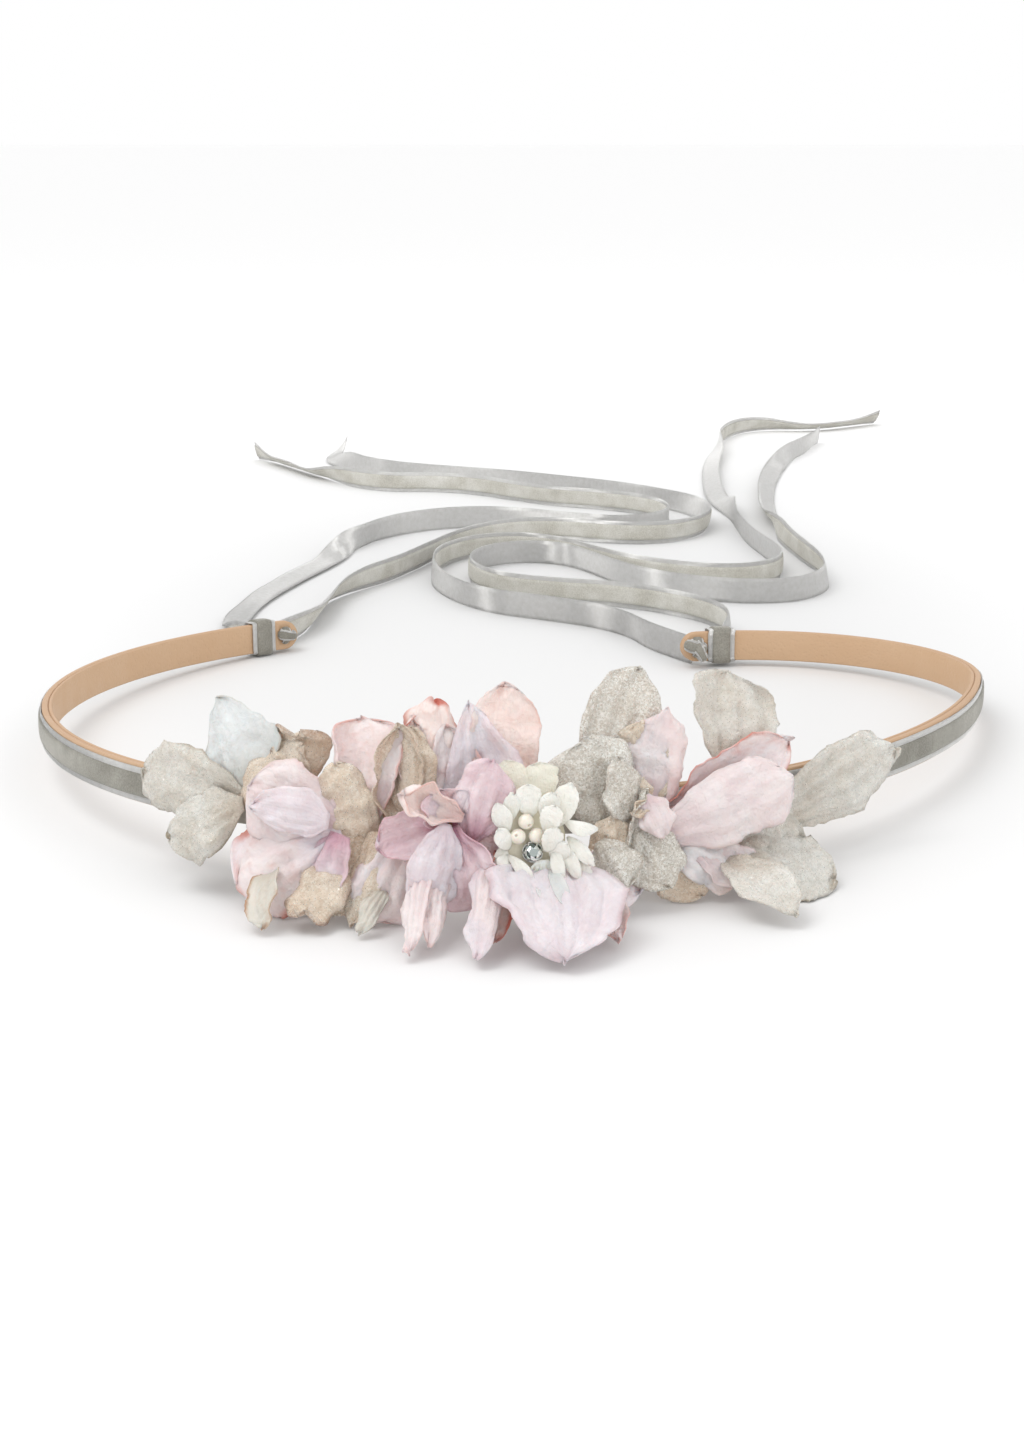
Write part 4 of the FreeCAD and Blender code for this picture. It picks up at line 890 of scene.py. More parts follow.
# each row: foot and tip (along the band, out from the pad, up), width, turn, finish, then what differs
spray = {
    "leaf_left_upper": ("grey_petal", [
        ((-34.6, 2.0, 5.2), (-54.0, 1.6, 7.0), 10.5, -12, "greyLeaf",
         {"cup": -20, "bow": 14, "crinkle": 0.6, "ragged": 0.14, "rim": 0.8, "tipCurl": -24}),
    ]),
    "leaf_left_lower": ("grey_petal", [
        ((-33.6, 4.6, 5.2), (-44.0, 6.0, -1.4), 10.5, 14, "greyLeaf",
         {"cup": -20, "bow": 12, "crinkle": 0.7, "ragged": 0.14, "rim": 1.0, "leftCurl": -30, "deep": 0.7}),
    ]),
    "grey_petal_left": ("grey_petal", [
        ((-35.2, 1.2, 6.2), (-42.6, -3.6, 18.2), 16.0, -8, "mist",
         {"shape": "spade", "cup": 14, "bow": 8, "crinkle": 0.35, "rightShare": 1.3, "leftShare": 0.6}),
    ]),
    "champagne_petal_left": ("glitter_petal", [
        ((-28.2, 2.0, 5.6), (-25.8, 0.5, 16.4), 8.6, 8, "champagne",
         {"shape": "fan", "cup": -28, "bow": 20, "tipCurl": 110, "rim": 1.3, "rimFrom": 0.8,
          "crinkle": 0.5}),
        ((-33.6, 4.2, 4.6), (-25.0, 2.6, 13.8), 8.4, -8, "champagne",
         {"shape": "strip", "cup": -30, "bow": 12, "crinkle": 0.5, "tipCurl": 30, "rim": 0.6}),
    ]),
    "pink_petal_left_upper": ("pink_petal", [
        ((-19.8, 6.4, 2.6), (-31.4, 7.2, 8.4), 12.5, -4, "pink",
         {"cup": -16, "bow": 12, "ruffle": 0.4, "rim": 0.3, "leftCurl": -20, "crinkle": 0.3}),
        ((-20.6, 8.4, 4.4), (-30.4, 9.0, 6.4), 7.4, -18, "lavender",
         {"shape": "sail", "cup": -8, "bow": 8, "leftShare": 0.7, "rightShare": 1.2, "rim": 0.2,
          "deep": 0.1}),
    ]),
    "pink_petal_left_lower": ("pink_petal", [
        ((-19.6, 6.6, 3.0), (-32.0, 9.6, -5.6), 14.5, 8, "pink",
         {"shape": "fan", "cup": -14, "bow": 18, "ruffle": 0.6, "pleat": 0.4, "rim": 1.4, "rimFrom": 0.8,
          "leftCurl": -24, "patch": 0.5, "crinkle": 0.35}),
        ((-20.0, 7.6, 3.0), (-22.2, 11.0, -7.0), 8.0, 24, "lilac",
         {"shape": "strip", "cup": -30, "bow": 14, "pleat": 0.35, "rim": 0.2, "deep": 0.8}),
    ]),
    "translucent_petal_low_left": ("grey_petal", [
        ((-27.6, 9.6, -3.0), (-25.8, 17.8, -8.4), 5.4, 14, "veil",
         {"shape": "strip", "cup": 30, "rim": 1.2, "rimFrom": 0.84, "ragged": 0.14}),
    ]),
    "champagne_curl_low": ("glitter_petal", [
        ((-19.4, 8.4, -1.6), (-22.4, 16.0, -8.0), 7.4, 10, "champagne",
         {"shape": "strip", "cup": -16, "bow": 10, "tipCurl": 100, "curlFrom": 0.8, "leftCurl": -30,
          "rim": 1.4,
          "rimFrom": 0.8, "crinkle": 0.5}),
    ]),
    "pink_petal_top_left": ("pink_petal", [
        ((-16.6, 3.6, 3.0), (-18.4, -0.6, 17.6), 12.4, 0, "pink",
         {"shape": "fan", "cup": 20, "bow": 14, "leftCurl": 95, "rim": 0.7, "ruffle": 0.35,
          "crinkle": 0.3}),
    ]),
    "champagne_petal_top_left": ("glitter_petal", [
        ((-17.6, 5.4, -1.6), (-20.8, 4.4, 12.0), 8.0, 12, "champagne",
         {"shape": "strip", "cup": -26, "bow": 14, "leftCurl": -40, "crinkle": 0.45, "rim": 0.3}),
    ]),
    "champagne_curl_top": ("glitter_petal", [
        ((-12.4, 4.4, 1.4), (-13.0, 1.8, 17.6), 11.0, 2, "champagne",
         {"shape": "oval", "cup": 56, "bow": -26, "tipCurl": 10, "leftCurl": 45, "rightCurl": 30,
          "rim": 0.7,
          "deep": 0.9, "crinkle": 0.45}),
        ((-10.6, 3.0, 2.4), (-11.2, 1.0, 16.8), 7.0, -10, "champagne",
         {"shape": "oval", "cup": -40, "bow": 20, "deep": 1.0, "crinkle": 0.4}),
    ]),
    "coral_petal_top": ("pink_petal", [
        ((-8.8, 2.4, 5.4), (-8.6, -2.6, 20.6), 8.4, 8, "blush",
         {"shape": "strip", "cup": -40, "bow": 10, "tipCurl": -60, "curlFrom": 0.86, "rim": 1.2,
          "rimFrom": 0.78,
          "rightCurl": -30}),
        ((-11.0, 2.4, 5.4), (-11.6, -1.0, 18.0), 5.4, 20, "blush",
         {"shape": "leaf", "cup": 40, "bow": 8, "rim": 1.0}),
    ]),
    "champagne_strip_low": ("glitter_petal", [
        ((-15.2, 6.4, 3.0), (-17.2, 12.4, -8.6), 6.0, 22, "champagne",
         {"shape": "strip", "cup": -40, "bow": 10, "crinkle": 0.35, "rim": 0.3, "deep": 0.8}),
        ((-17.6, 6.0, 2.4), (-19.2, 11.4, -8.0), 6.0, -16, "champagne",
         {"shape": "strip", "cup": -36, "bow": 12, "crinkle": 0.35, "deep": 0.9}),
    ]),
    "pink_petal_low": ("pink_petal", [
        ((-10.4, 6.8, 4.0), (-15.0, 11.6, -8.4), 10.6, -10, "pink",
         {"shape": "fan", "cup": -30, "bow": 14, "ruffle": 0.45, "pleat": 0.3, "rim": 0.4, "crinkle": 0.3}),
        ((-13.6, 10.2, -4.2), (-15.6, 16.4, -8.6), 2.2, 0, "veil", {"shape": "strip", "cup": -30}),
    ]),
    "mauve_floret": ("lilac_petal", [
        ((-4.4, 11.0, 6.4), (-11.6, 12.4, 10.2), 8.4, 6, "blush",
         {"shape": "oval", "cup": 58, "bow": -20, "leftCurl": 40, "rightCurl": 44, "deep": 0.6,
          "rim": 0.5}),
        ((-3.6, 10.4, 2.6), (-0.9, 9.5, 14.2), 8.4, 4, "lilac",
         {"shape": "oval", "cup": -30, "bow": 16, "leftCurl": -26, "deep": 0.9, "pleat": 0.3}),
        ((-6.2, 12.2, 6.0), (-8.8, 15.4, -5.8), 7.6, -25, "lavender",
         {"shape": "oval", "cup": -36, "bow": 16, "rim": 0.2, "pleat": 0.2}),
        ((-5.6, 11.0, 5.2), (-2.2, 12.5, -5.6), 9.8, 12, "lilac",
         {"shape": "fan", "cup": 26, "bow": 12, "deep": 1.0, "patch": 0.2, "pleat": 0.35, "ruffle": 0.5}),
        ((-6.4, 10.0, 5.2), (-14.4, 10.6, 1.8), 8.4, 0, "lilac",
         {"cup": 46, "bow": -18, "deep": 1.1, "rim": 0.8, "leftCurl": 40}),
        ((-6.0, 9.2, 4.4), (-7.4, 9.8, 10.2), 8.4, 10, "lilac", {"cup": 50, "deep": 1.4}),
        ((-4.6, 8.4, 4.4), (0.6, 8.8, 1.6), 7.6, 10, "lilac", {"cup": 36, "deep": 1.4}),
    ]),
    "pale_tails_low_left": ("lilac_petal", [
        ((-8.8, 10.4, 1.0), (-9.6, 24.0, -8.4), 3.8, 24, "pink",
         {"shape": "strip", "cup": -46, "bow": 12, "twist": 20, "rim": 0.3, "pleat": 0.2}),
        ((-6.6, 9.8, 0.0), (-7.8, 22.0, -8.2), 3.4, -24, "pink",
         {"shape": "strip", "cup": -50, "bow": 12, "twist": -24}),
    ]),
    "lilac_petal_top": ("lilac_petal", [
        ((-1.6, 2.4, 4.4), (-3.6, -2.0, 19.8), 13.0, -6, "lavender",
         {"shape": "spade", "cup": 16, "bow": 10, "leftShare": 0.8, "rightShare": 1.1, "pleat": 0.25,
          "deep": 0.3,
          "crinkle": 0.3}),
        ((-4.6, 1.8, 4.6), (-6.8, -1.6, 16.6), 9.0, 10, "pink",
         {"shape": "sail", "cup": 26, "bow": 10, "rim": 0.6}),
    ]),
    "blush_petal_top": ("pink_petal", [
        ((0.8, 0.8, 5.0), (1.6, -4.0, 22.0), 10.4, 2, "blush",
         {"shape": "oval", "cup": 20, "bow": 12, "rim": 0.5, "ruffle": 0.35, "deep": 0.3}),
    ]),
    "pale_tails_low_mid": ("lilac_petal", [
        ((-1.0, 11.0, 1.0), (-3.2, 26.0, -8.6), 4.6, 16, "lavender",
         {"shape": "strip", "cup": -44, "bow": 12, "twist": 18, "patch": 0.9, "rim": 0.5}),
        ((0.2, 9.4, 0.6), (-1.4, 20.5, -8.2), 5.4, -12, "blush",
         {"shape": "strip", "cup": 44, "bow": 10, "rim": 1.4, "rimFrom": 0.5, "deep": 0.9}),
    ]),
    "lilac_petal_low": ("lilac_petal", [
        ((6.2, 9.0, -0.8), (5.0, 28.5, -8.4), 19.0, 0, "lavender",
         {"shape": "sail", "cup": 12, "bow": 16, "ruffle": 0.6, "pleat": 0.5, "pleats": 6, "rim": 0.5,
          "deep": 0.2,
          "ragged": 0.09, "crinkle": 0.3}),
    ]),
    "lilac_petal_low_right": ("lilac_petal", [
        ((8.6, 7.4, -1.6), (17.6, 9.6, -5.4), 8.0, 0, "lavender",
         {"cup": 14, "bow": 12, "ruffle": 0.4, "rim": 0.3, "deep": 0.4}),
        ((12.2, 10.0, -4.6), (11.6, 22.0, -8.4), 5.2, 10, "pink",
         {"shape": "leaf", "cup": 30, "bow": 10, "rim": 0.9}),
    ]),
    "silver_leaf_tall": ("glitter_petal", [
        ((12.4, 2.0, 5.6), (21.6, -4.4, 23.6), 11.6, 2, "silver",
         {"shape": "oval", "cup": 18, "bow": 12, "crinkle": 0.35, "rim": 0.25, "pleat": 0.3,
          "ragged": 0.1}),
    ]),
    "silver_leaf_front": ("glitter_petal", [
        ((14.8, 5.2, 0.4), (11.2, 3.4, 15.2), 12.8, 0, "silver",
         {"shape": "fan", "cup": -22, "bow": 12, "leftCurl": -30, "crinkle": 0.35, "rim": 0.3,
          "deep": 0.4}),
        ((16.2, 7.6, 4.4), (14.4, 7.8, 13.4), 7.0, 20, "silver",
         {"shape": "sail", "cup": -18, "bow": 8, "rim": 0.7, "rimFrom": 0.8, "deep": 0.1}),
    ]),
    "champagne_fold": ("glitter_petal", [
        ((15.2, 7.2, -2.6), (18.4, 7.4, 8.4), 5.4, 34, "silver",
         {"shape": "strip", "cup": 50, "bow": 8, "rim": 0.8, "deep": 0.6}),
        ((13.4, 7.6, -2.6), (14.8, 7.6, 5.0), 6.0, -18, "champagne",
         {"shape": "strip", "cup": -40, "bow": 10, "deep": 0.9}),
        ((17.2, 5.6, 3.6), (18.8, 5.2, 9.6), 4.6, 20, "champagne",
         {"shape": "leaf", "cup": -30, "deep": 1.0}),
    ]),
    "rolled_pink_petal": ("pink_petal", [
        ((20.9, 3.6, 3.6), (24.4, 1.4, 18.2), 12.4, 6, "pink",
         {"shape": "strip", "cup": -62, "bow": 12, "tipCurl": -40, "curlFrom": 0.8, "rim": 0.6,
          "rightCurl": -30,
          "ruffle": 0.15}),
        ((19.8, 2.6, 4.0), (20.2, 0.6, 16.6), 7.4, -20, "champagne",
         {"shape": "strip", "cup": -20, "bow": 10, "rim": 0.2}),
    ]),
    "pink_curl_small": ("pink_petal", [
        ((18.2, 8.6, 8.0), (20.2, 10.6, 2.4), 5.6, 6, "pink",
         {"shape": "oval", "cup": -48, "bow": 22, "tipCurl": -30, "rim": 0.3, "ragged": 0.03,
          "crinkle": 0.15}),
        ((19.2, 8.2, 7.2), (16.2, 9.0, 5.2), 2.8, 0, "champagne", {"shape": "strip", "cup": 60, "bow": 10}),
    ]),
    "pink_petal_right_upper": ("pink_petal", [
        ((21.6, 3.4, 2.4), (43.4, 2.2, 11.6), 10.2, -8, "pink",
         {"shape": "oval", "cup": 26, "bow": 12, "leftCurl": 40, "rim": 1.4, "rimFrom": 0.84,
          "patch": 0.3}),
    ]),
    "pink_petal_right_lower": ("pink_petal", [
        ((20.4, 6.6, 1.2), (39.4, 8.0, 7.8), 11.4, 0, "pink",
         {"cup": -22, "bow": 18, "rim": 0.12, "ruffle": 0.2, "leftCurl": -24, "rightCurl": -14,
          "deep": 0.3}),
    ]),
    "grey_petal_back_right": ("grey_petal", [
        ((33.6, 1.0, 6.6), (38.0, -6.0, 20.8), 15.0, 0, "greyLeaf",
         {"cup": 16, "bow": 10, "crinkle": 0.5, "ragged": 0.12, "rim": 0.3, "pleat": 0.4}),
    ]),
    "silver_petal_low_a": ("glitter_petal", [
        ((17.6, 7.4, 3.6), (20.8, 10.4, -5.2), 8.8, 0, "silver",
         {"cup": -26, "bow": 16, "rim": 0.8, "rimFrom": 0.9, "deep": 0.3}),
        ((12.2, 9.0, 2.0), (15.0, 11.2, -4.4), 7.4, 10, "silver",
         {"cup": -22, "bow": 12, "rim": 0.8, "rimFrom": 0.9}),
    ]),
    "silver_petal_low_b": ("glitter_petal", [
        ((21.4, 4.4, 1.4), (26.2, 8.0, -7.8), 9.8, 10, "champagne",
         {"cup": -20, "bow": 14, "rim": 0.5, "patch": 0.4, "ragged": 0.1}),
        ((22.0, 6.0, 0.4), (31.4, 8.6, -5.6), 7.6, 0, "blush",
         {"cup": -20, "bow": 14, "rim": 0.4, "patch": 1.0, "crinkle": 0.4}),
    ]),
    "lavender_petal_low": ("lilac_petal", [
        ((25.0, 6.4, -1.4), (34.0, 9.0, -6.4), 7.4, -14, "pink",
         {"cup": 16, "bow": 12, "rim": 0.4, "deep": 0.3}),
    ]),
    "leaf_right": ("grey_petal", [
        ((41.0, 1.6, 0.2), (67.6, 1.8, 6.6), 11.6, 8, "greyLeaf",
         {"shape": "oval", "cup": -24, "bow": 12, "crinkle": 0.55, "ragged": 0.1, "pleat": 0.4, "rim": 0.4,
          "deep": 0.6, "patch": 0.5}),
    ]),
    "grey_petal_right_upper": ("grey_petal", [
        ((29.8, 3.4, 0.6), (43.4, 5.4, -2.6), 14.6, -12, "greyLeaf",
         {"shape": "fan", "cup": -18, "bow": 14, "crinkle": 0.5, "ragged": 0.1, "rim": 0.4}),
    ]),
    "grey_petal_right_lower": ("grey_petal", [
        ((33.0, 5.6, -1.4), (43.6, 12.4, -7.2), 13.6, -30, "greyLeaf",
         {"shape": "fan", "cup": -18, "bow": 12, "crinkle": 0.5, "ragged": 0.16, "rim": 0.7,
          "rimFrom": 0.9}),
    ]),
    "translucent_petal_low_right": ("grey_petal", [
        ((29.6, 7.4, -3.0), (31.6, 23.0, -7.2), 9.0, 0, "greyLeaf",
         {"shape": "leaf", "cup": 16, "bow": 12, "crinkle": 0.3, "rim": 0.3}),
    ]),
}
petalCount = 0
for node, (slotName, rows) in spray.items():
    petalPiece(node, rows)
    petalCount += len(rows)
print("petals set:", petalCount)

# white cut flower
flowerPlace = {"along": 3.6, "out": 9.8, "up": 3.2, "lean": 12.0, "disc": 0.8, "pearl": 1.1, "stone": 1.25}


def flowerMatrix():
    middle = bandPoint(flowerPlace["along"], bandPath["padFace"] + flowerPlace["out"], flowerPlace["up"])
    outward = bandPlace(flowerPlace["along"])[1]
    right = zUp.cross(outward)
    lean = math.radians(flowerPlace["lean"])
    forward = outward * math.cos(lean) + zUp * math.sin(lean)
    upward = forward.cross(right)
    turned = Matrix((right, upward, forward)).transposed().to_4x4()
    return Matrix.Translation(middle) @ turned


onFlower = layDown @ flowerMatrix()
# the white paper petals also take a little painted shade towards their feet
cut = {"ruffle": 0.05, "pleat": 0.0, "crinkle": 0.08, "ragged": 0.02, "rim": 0.6, "deep": 0.35, "gauge": 0.26}
whitePetals = {
    "white_oval_petals": ("paper", [
        ((3.3, 1.4, 1.5), (5.4, 7.4, 2.6), 3.6, -14,
         {"shape": "oval", "cup": -8, "bow": 8, "scallop": 0.02}),
        ((1.7, 2.6, 1.5), (2.7, 6.2, 3.0), 3.0, 10, {"shape": "oval", "cup": -10, "scallop": 0.03}),
        ((1.7, 0.8, 2.6), (2.9, 4.4, 4.0), 3.0, -18, {"shape": "round", "cup": -10, "scallop": 0.04}),
        ((1.6, -1.8, 2.6), (3.0, 1.4, 3.9), 2.9, 16, {"shape": "round", "cup": -12, "scallop": 0.04}),
        ((-0.3, 2.9, 1.2), (-0.6, 7.4, 2.8), 3.5, -8, {"shape": "round", "cup": -8, "scallop": 0.03}),
        ((2.4, -2.6, 1.8), (4.5, -0.9, 3.4), 2.8, 0, {"shape": "round", "cup": -10, "scallop": 0.04}),
    ]),
    "white_finger_petals": ("paper", [
        ((2.9, -1.0, 1.8), (3.7, -6.4, 3.3), 1.9, 18, {"shape": "leaf", "cup": -10, "bow": 20}),
        ((3.9, -0.7, 1.8), (6.2, -5.8, 3.0), 2.1, 12, {"shape": "leaf", "cup": -10, "bow": 20}),
        ((4.8, 0.0, 1.7), (8.2, -4.0, 2.5), 2.1, 0, {"shape": "leaf", "cup": -12, "bow": 22}),
        ((4.4, 2.2, 1.7), (8.8, 1.0, 2.5), 2.0, -8, {"shape": "leaf", "cup": -12, "bow": 36, "sway": 0.6}),
        ((-3.6, -2.2, 1.6), (-0.4, -7.4, 2.8), 1.9, 0,
         {"shape": "leaf", "cup": -12, "bow": 20, "sway": -0.6}),
        ((5.2, -2.0, 1.0), (7.4, -6.8, 1.8), 2.9, 0, {"shape": "oval", "cup": -8, "scallop": 0.06}),
    ]),
    "white_star_petals": ("paper", [
        ((-3.0, 2.4, 1.5), (-2.9, 6.4, 2.6), 2.5, 16, {"shape": "leaf", "cup": -12, "bow": 12}),
        ((-3.4, 1.0, 1.7), (-5.0, 5.0, 3.0), 2.8, -14, {"shape": "leaf", "cup": -12, "bow": 12}),
        ((-3.3, -1.4, 1.7), (-5.0, 1.4, 2.9), 2.5, 14, {"shape": "oval", "cup": -12, "bow": 10}),
        ((-3.6, -2.4, 1.7), (-4.9, -4.0, 2.7), 2.2, -10, {"shape": "leaf", "cup": -14, "bow": 12}),
        ((-4.0, -0.8, 1.0), (-5.0, -6.4, 1.7), 2.5, 0, {"shape": "oval", "cup": -10, "bow": 12}),
    ]),
    "ivory_back_petals": ("ivory", [
        ((-1.7, 3.8, -0.6), (-3.2, 10.6, -1.0), 4.8, 0, {"shape": "round", "cup": 8, "scallop": 0.02}),
        ((1.9, 3.8, -0.9), (1.6, 10.2, -1.4), 4.8, 0, {"shape": "fan", "cup": 8, "ragged": 0.12}),
    ]),
    "translucent_finger_petals": ("frosted", [
        ((0.5, -4.0, 0.4), (0.9, -9.6, 9.4), 2.0, 0, {"shape": "leaf", "cup": 16, "bow": 10}),
        ((2.4, -3.8, 0.4), (3.6, -9.2, 9.4), 2.2, 0, {"shape": "oval", "cup": 16, "bow": 10}),
    ]),
}
for node, (finish, rows) in whitePetals.items():
    sheets = Sheets()
    for number, (foot, tip, width, turn, extra) in enumerate(rows):
        look = dict(petalDefaults, **dict(cut, **extra))
        seed = number * 1.9 + len(node)
        grid, marks = petalGrid(Vector(foot), Vector(tip), Vector((0, 0, 1)), width, turn, look, seed)
        sheets.add(grid, marks, look["gauge"], 0)
    piece = newPiece(node + "_sheet", sheets.points, sheets.faces, [finishes[finish]], onFlower, sheets.uvs,
                     sheets.tones, sheets.which)
    crownPiece(piece, [node])


# pearls and stone
def pearlFinish():
    f = Finish("pearl", 0.16)
    cloud = f.noise(700, 3)
    colour = f.ramp(cloud, (0.3, tint("F3EEE3")), (0.75, tint("DFD7C6")))
    f.set(Coat_Weight=0.6, Coat_Roughness=0.12, Sheen_Weight=0.3, Subsurface_Weight=0.25,
          Subsurface_Scale=0.0006, Specular_IOR_Level=0.7)
    return f.finish(colour, f.ramp(f.noise(1400, 3), (0.3, 0.14), (0.7, 0.26)), f.bump(cloud, 0.00002))


def lathe(profile, axisPlace, sides, points, faces):  # profile: radius, height; closed at both ends
    base = len(points)
    for radius, height in profile:
        for i in range(sides):
            a = 2 * math.pi * i / sides
            points.append(axisPlace @ Vector((radius * math.cos(a), radius * math.sin(a), height)))
    for r in range(len(profile) - 1):
        for i in range(sides):
            n = (i + 1) % sides
            low, high = base + r * sides, base + (r + 1) * sides
            faces.append((low + i, low + n, high + n, high + i))
    faces.append(tuple(base + i for i in range(sides))[::-1])
    faces.append(tuple(base + (len(profile) - 1) * sides + i for i in range(sides)))


pearlLook = {"spots": [(-0.9, 2.3), (-2.05, 0.3), (0.5, 0.3)],
             "turns": [(0.5, 0.3), (-0.2, -0.35), (1.2, 0.6)], "bore": 0.2}
points, faces = [], []
for (x, y), (leanX, leanY) in zip(pearlLook["spots"], pearlLook["turns"]):
    r, bore = flowerPlace["pearl"], pearlLook["bore"]
    start = math.asin(bore / r)
    profile = [(bore * 0.7, -r * 0.72), (bore * 0.9, -r * math.cos(start) + 0.06)]
    profile += [(r * math.sin(a), -r * math.cos(a)) for a in
                [start + (math.pi - 2 * start) * i / 22 for i in range(23)]]
    profile += [(bore * 0.9, r * math.cos(start) - 0.06), (bore * 0.7, r * 0.72)]
    spot = Matrix.Translation(Vector((x, y, flowerPlace["disc"] + r - 0.15)))
    lathe(profile, spot @ Matrix.Rotation(leanX, 4, "X") @ Matrix.Rotation(leanY, 4, "Y"), 36, points, faces)
crownPiece(newPiece("drilled_pearls", points, faces, [pearlFinish()], onFlower), ["pearls"])


stoneSpot = (-0.1, -1.9)  # on the flower's base


def stoneFinish():
    f = Finish("cutGlass", 0.05)
    tone = f.tone()
    # painted reflections: each facet's random value picks a colour from near-black through grey to white
    colour = f.ramp(tone[0], (0.0, tint("1C2420")), (0.35, tint("6E7B76")), (0.62, tint("E6EEEC")),
                    (1.0, tint("FFFFFF")))
    f.set(Metallic=0.85, Specular_IOR_Level=0.9, Coat_Weight=0.5, Coat_Roughness=0.03)
    return f.finish(colour, f.ramp(f.noise(900, 2), (0.3, 0.03), (0.8, 0.1)), None)


def cutStone():
    # table, crown and pavilion facets, each facet its own so that it keeps a flat face and a painted
    # reflection of its own
    random.seed(11)
    r, low = flowerPlace["stone"] - 0.06, flowerPlace["disc"] + 0.36
    x, y = stoneSpot
    rings = [(0.5 * r, low + 1.75, 8, 0.0), (0.82 * r, low + 1.5, 8, 0.5), (r, low + 1.2, 16, 0.0),
             (r, low + 1.1, 16, 0.0), (0.62 * r, low + 0.55, 8, 0.5), (0.3 * r, low + 0.1, 8, 0.0)]
    loops = []
    for radius, height, sides, shift in rings:
        angles = [2 * math.pi * (i + shift) / sides for i in range(sides)]
        loops.append([Vector((x + radius * math.cos(a), y + radius * math.sin(a), height)) for a in angles])
    facets = [loops[0]]
    for upper, lower in zip(loops, loops[1:]):
        merged = [(math.atan2(p.y - y, p.x - x) % 6.2831, 0, p) for p in upper]
        merged += [(math.atan2(p.y - y, p.x - x) % 6.2831, 1, p) for p in lower]
        merged.sort(key=lambda e: (e[0], e[1]))
        lastUp = [e for e in merged if e[1] == 0][-1][2]
        lastLow = [e for e in merged if e[1] == 1][-1][2]
        for angle, which, p in merged:
            facets.append([lastUp, lastLow, p])
            if which == 0:
                lastUp = p
            else:
                lastLow = p
    facets.append(loops[-1][::-1])
    points, faces, tones = [], [], []
    for facet in facets:
        base = len(points)
        # a random brightness for this facet's painted reflection
        shade = random.random()
        points += facet
        tones += [(shade, 0.0, 0.0)] * len(facet)
        faces.append(tuple(range(base, base + len(facet))))
    piece = newPiece("cut_stone", points, faces, [stoneFinish()], onFlower, None, tones)
    piece.data.polygons.foreach_set("use_smooth", [False] * len(piece.data.polygons))
    return crownPiece(piece, ["rhinestone"])


cutStone()


def metalFinish():
    f = Finish("clawMetal", 0.25)
    f.set(Metallic=1.0)
    marks = f.noise(1200, 3)
    return f.finish(f.ramp(marks, (0.3, tint("B9BAB6")), (0.7, tint("E4E4E0"))),
                    f.ramp(marks, (0.3, 0.18), (0.7, 0.4)), f.bump(marks, 0.00002))


def newTree(name, **inputs):  # a tree that takes a mesh and these named inputs
    tree = bpy.data.node_groups.new(name, "GeometryNodeTree")
    tree.interface.new_socket("Geometry", in_out="INPUT", socket_type="NodeSocketGeometry")
    for label, kind in inputs.items():
        tree.interface.new_socket(label.replace("_", " "), in_out="INPUT", socket_type="NodeSocket" + kind)
    tree.interface.new_socket("Geometry", in_out="OUTPUT", socket_type="NodeSocketGeometry")
    return tree, tree.nodes.new("NodeGroupInput")


def paintResult(tree, instances, material):
    node, link = tree.nodes.new, tree.links.new
    solid, paint = node("GeometryNodeRealizeInstances"), node("GeometryNodeSetMaterial")
    paint.inputs["Material"].default_value = material
    link(instances, solid.inputs["Geometry"])
    link(solid.outputs["Geometry"], paint.inputs["Geometry"])
    link(paint.outputs["Geometry"], node("NodeGroupOutput").inputs["Geometry"])


def times(tree, source, factor):
    part = tree.nodes.new("ShaderNodeMath")
    part.operation = "MULTIPLY"
    part.inputs[1].default_value = factor
    tree.links.new(source, part.inputs[0])
    return part.outputs[0]


def clawTree(material):  # bent claws in a ring round the stone
    tree, given = newTree("clawRing", Ring_Radius="Float", Claw_Count="Int")
    node, link = tree.nodes.new, tree.links.new
    ring = node("GeometryNodeMeshCircle")
    link(given.outputs["Claw Count"], ring.inputs["Vertices"])
    link(given.outputs["Ring Radius"], ring.inputs["Radius"])
    place = node("GeometryNodeInputPosition")
    face = node("FunctionNodeAlignEulerToVector")
    face.axis = "X"
    face.pivot_axis = "Z"
    link(place.outputs["Position"], face.inputs["Vector"])
    spread = node("GeometryNodeInstanceOnPoints")
    link(ring.outputs["Mesh"], spread.inputs["Points"])
    link(given.outputs["Geometry"], spread.inputs["Instance"])
    link(face.outputs["Rotation"], spread.inputs["Rotation"])
    paintResult(tree, spread.outputs["Instances"], material)
    return tree


def grown(piece, tree, values, name):  # the tree's result as a plain mesh on a new object
    grow = piece.modifiers.new("grow", "NODES")
    grow.node_group = tree
    sockets = {item.name: item.identifier for item in tree.interface.items_tree if item.in_out == "INPUT"}
    for key, value in values.items():
        grow[sockets[key]] = value
    bpy.context.view_layer.update()
    mesh = bpy.data.meshes.new_from_object(piece.evaluated_get(bpy.context.evaluated_depsgraph_get()))
    bpy.data.objects.remove(piece)
    mesh.name = name
    made = bpy.data.objects.new(name, mesh)
    bpy.context.scene.collection.objects.link(made)
    return made


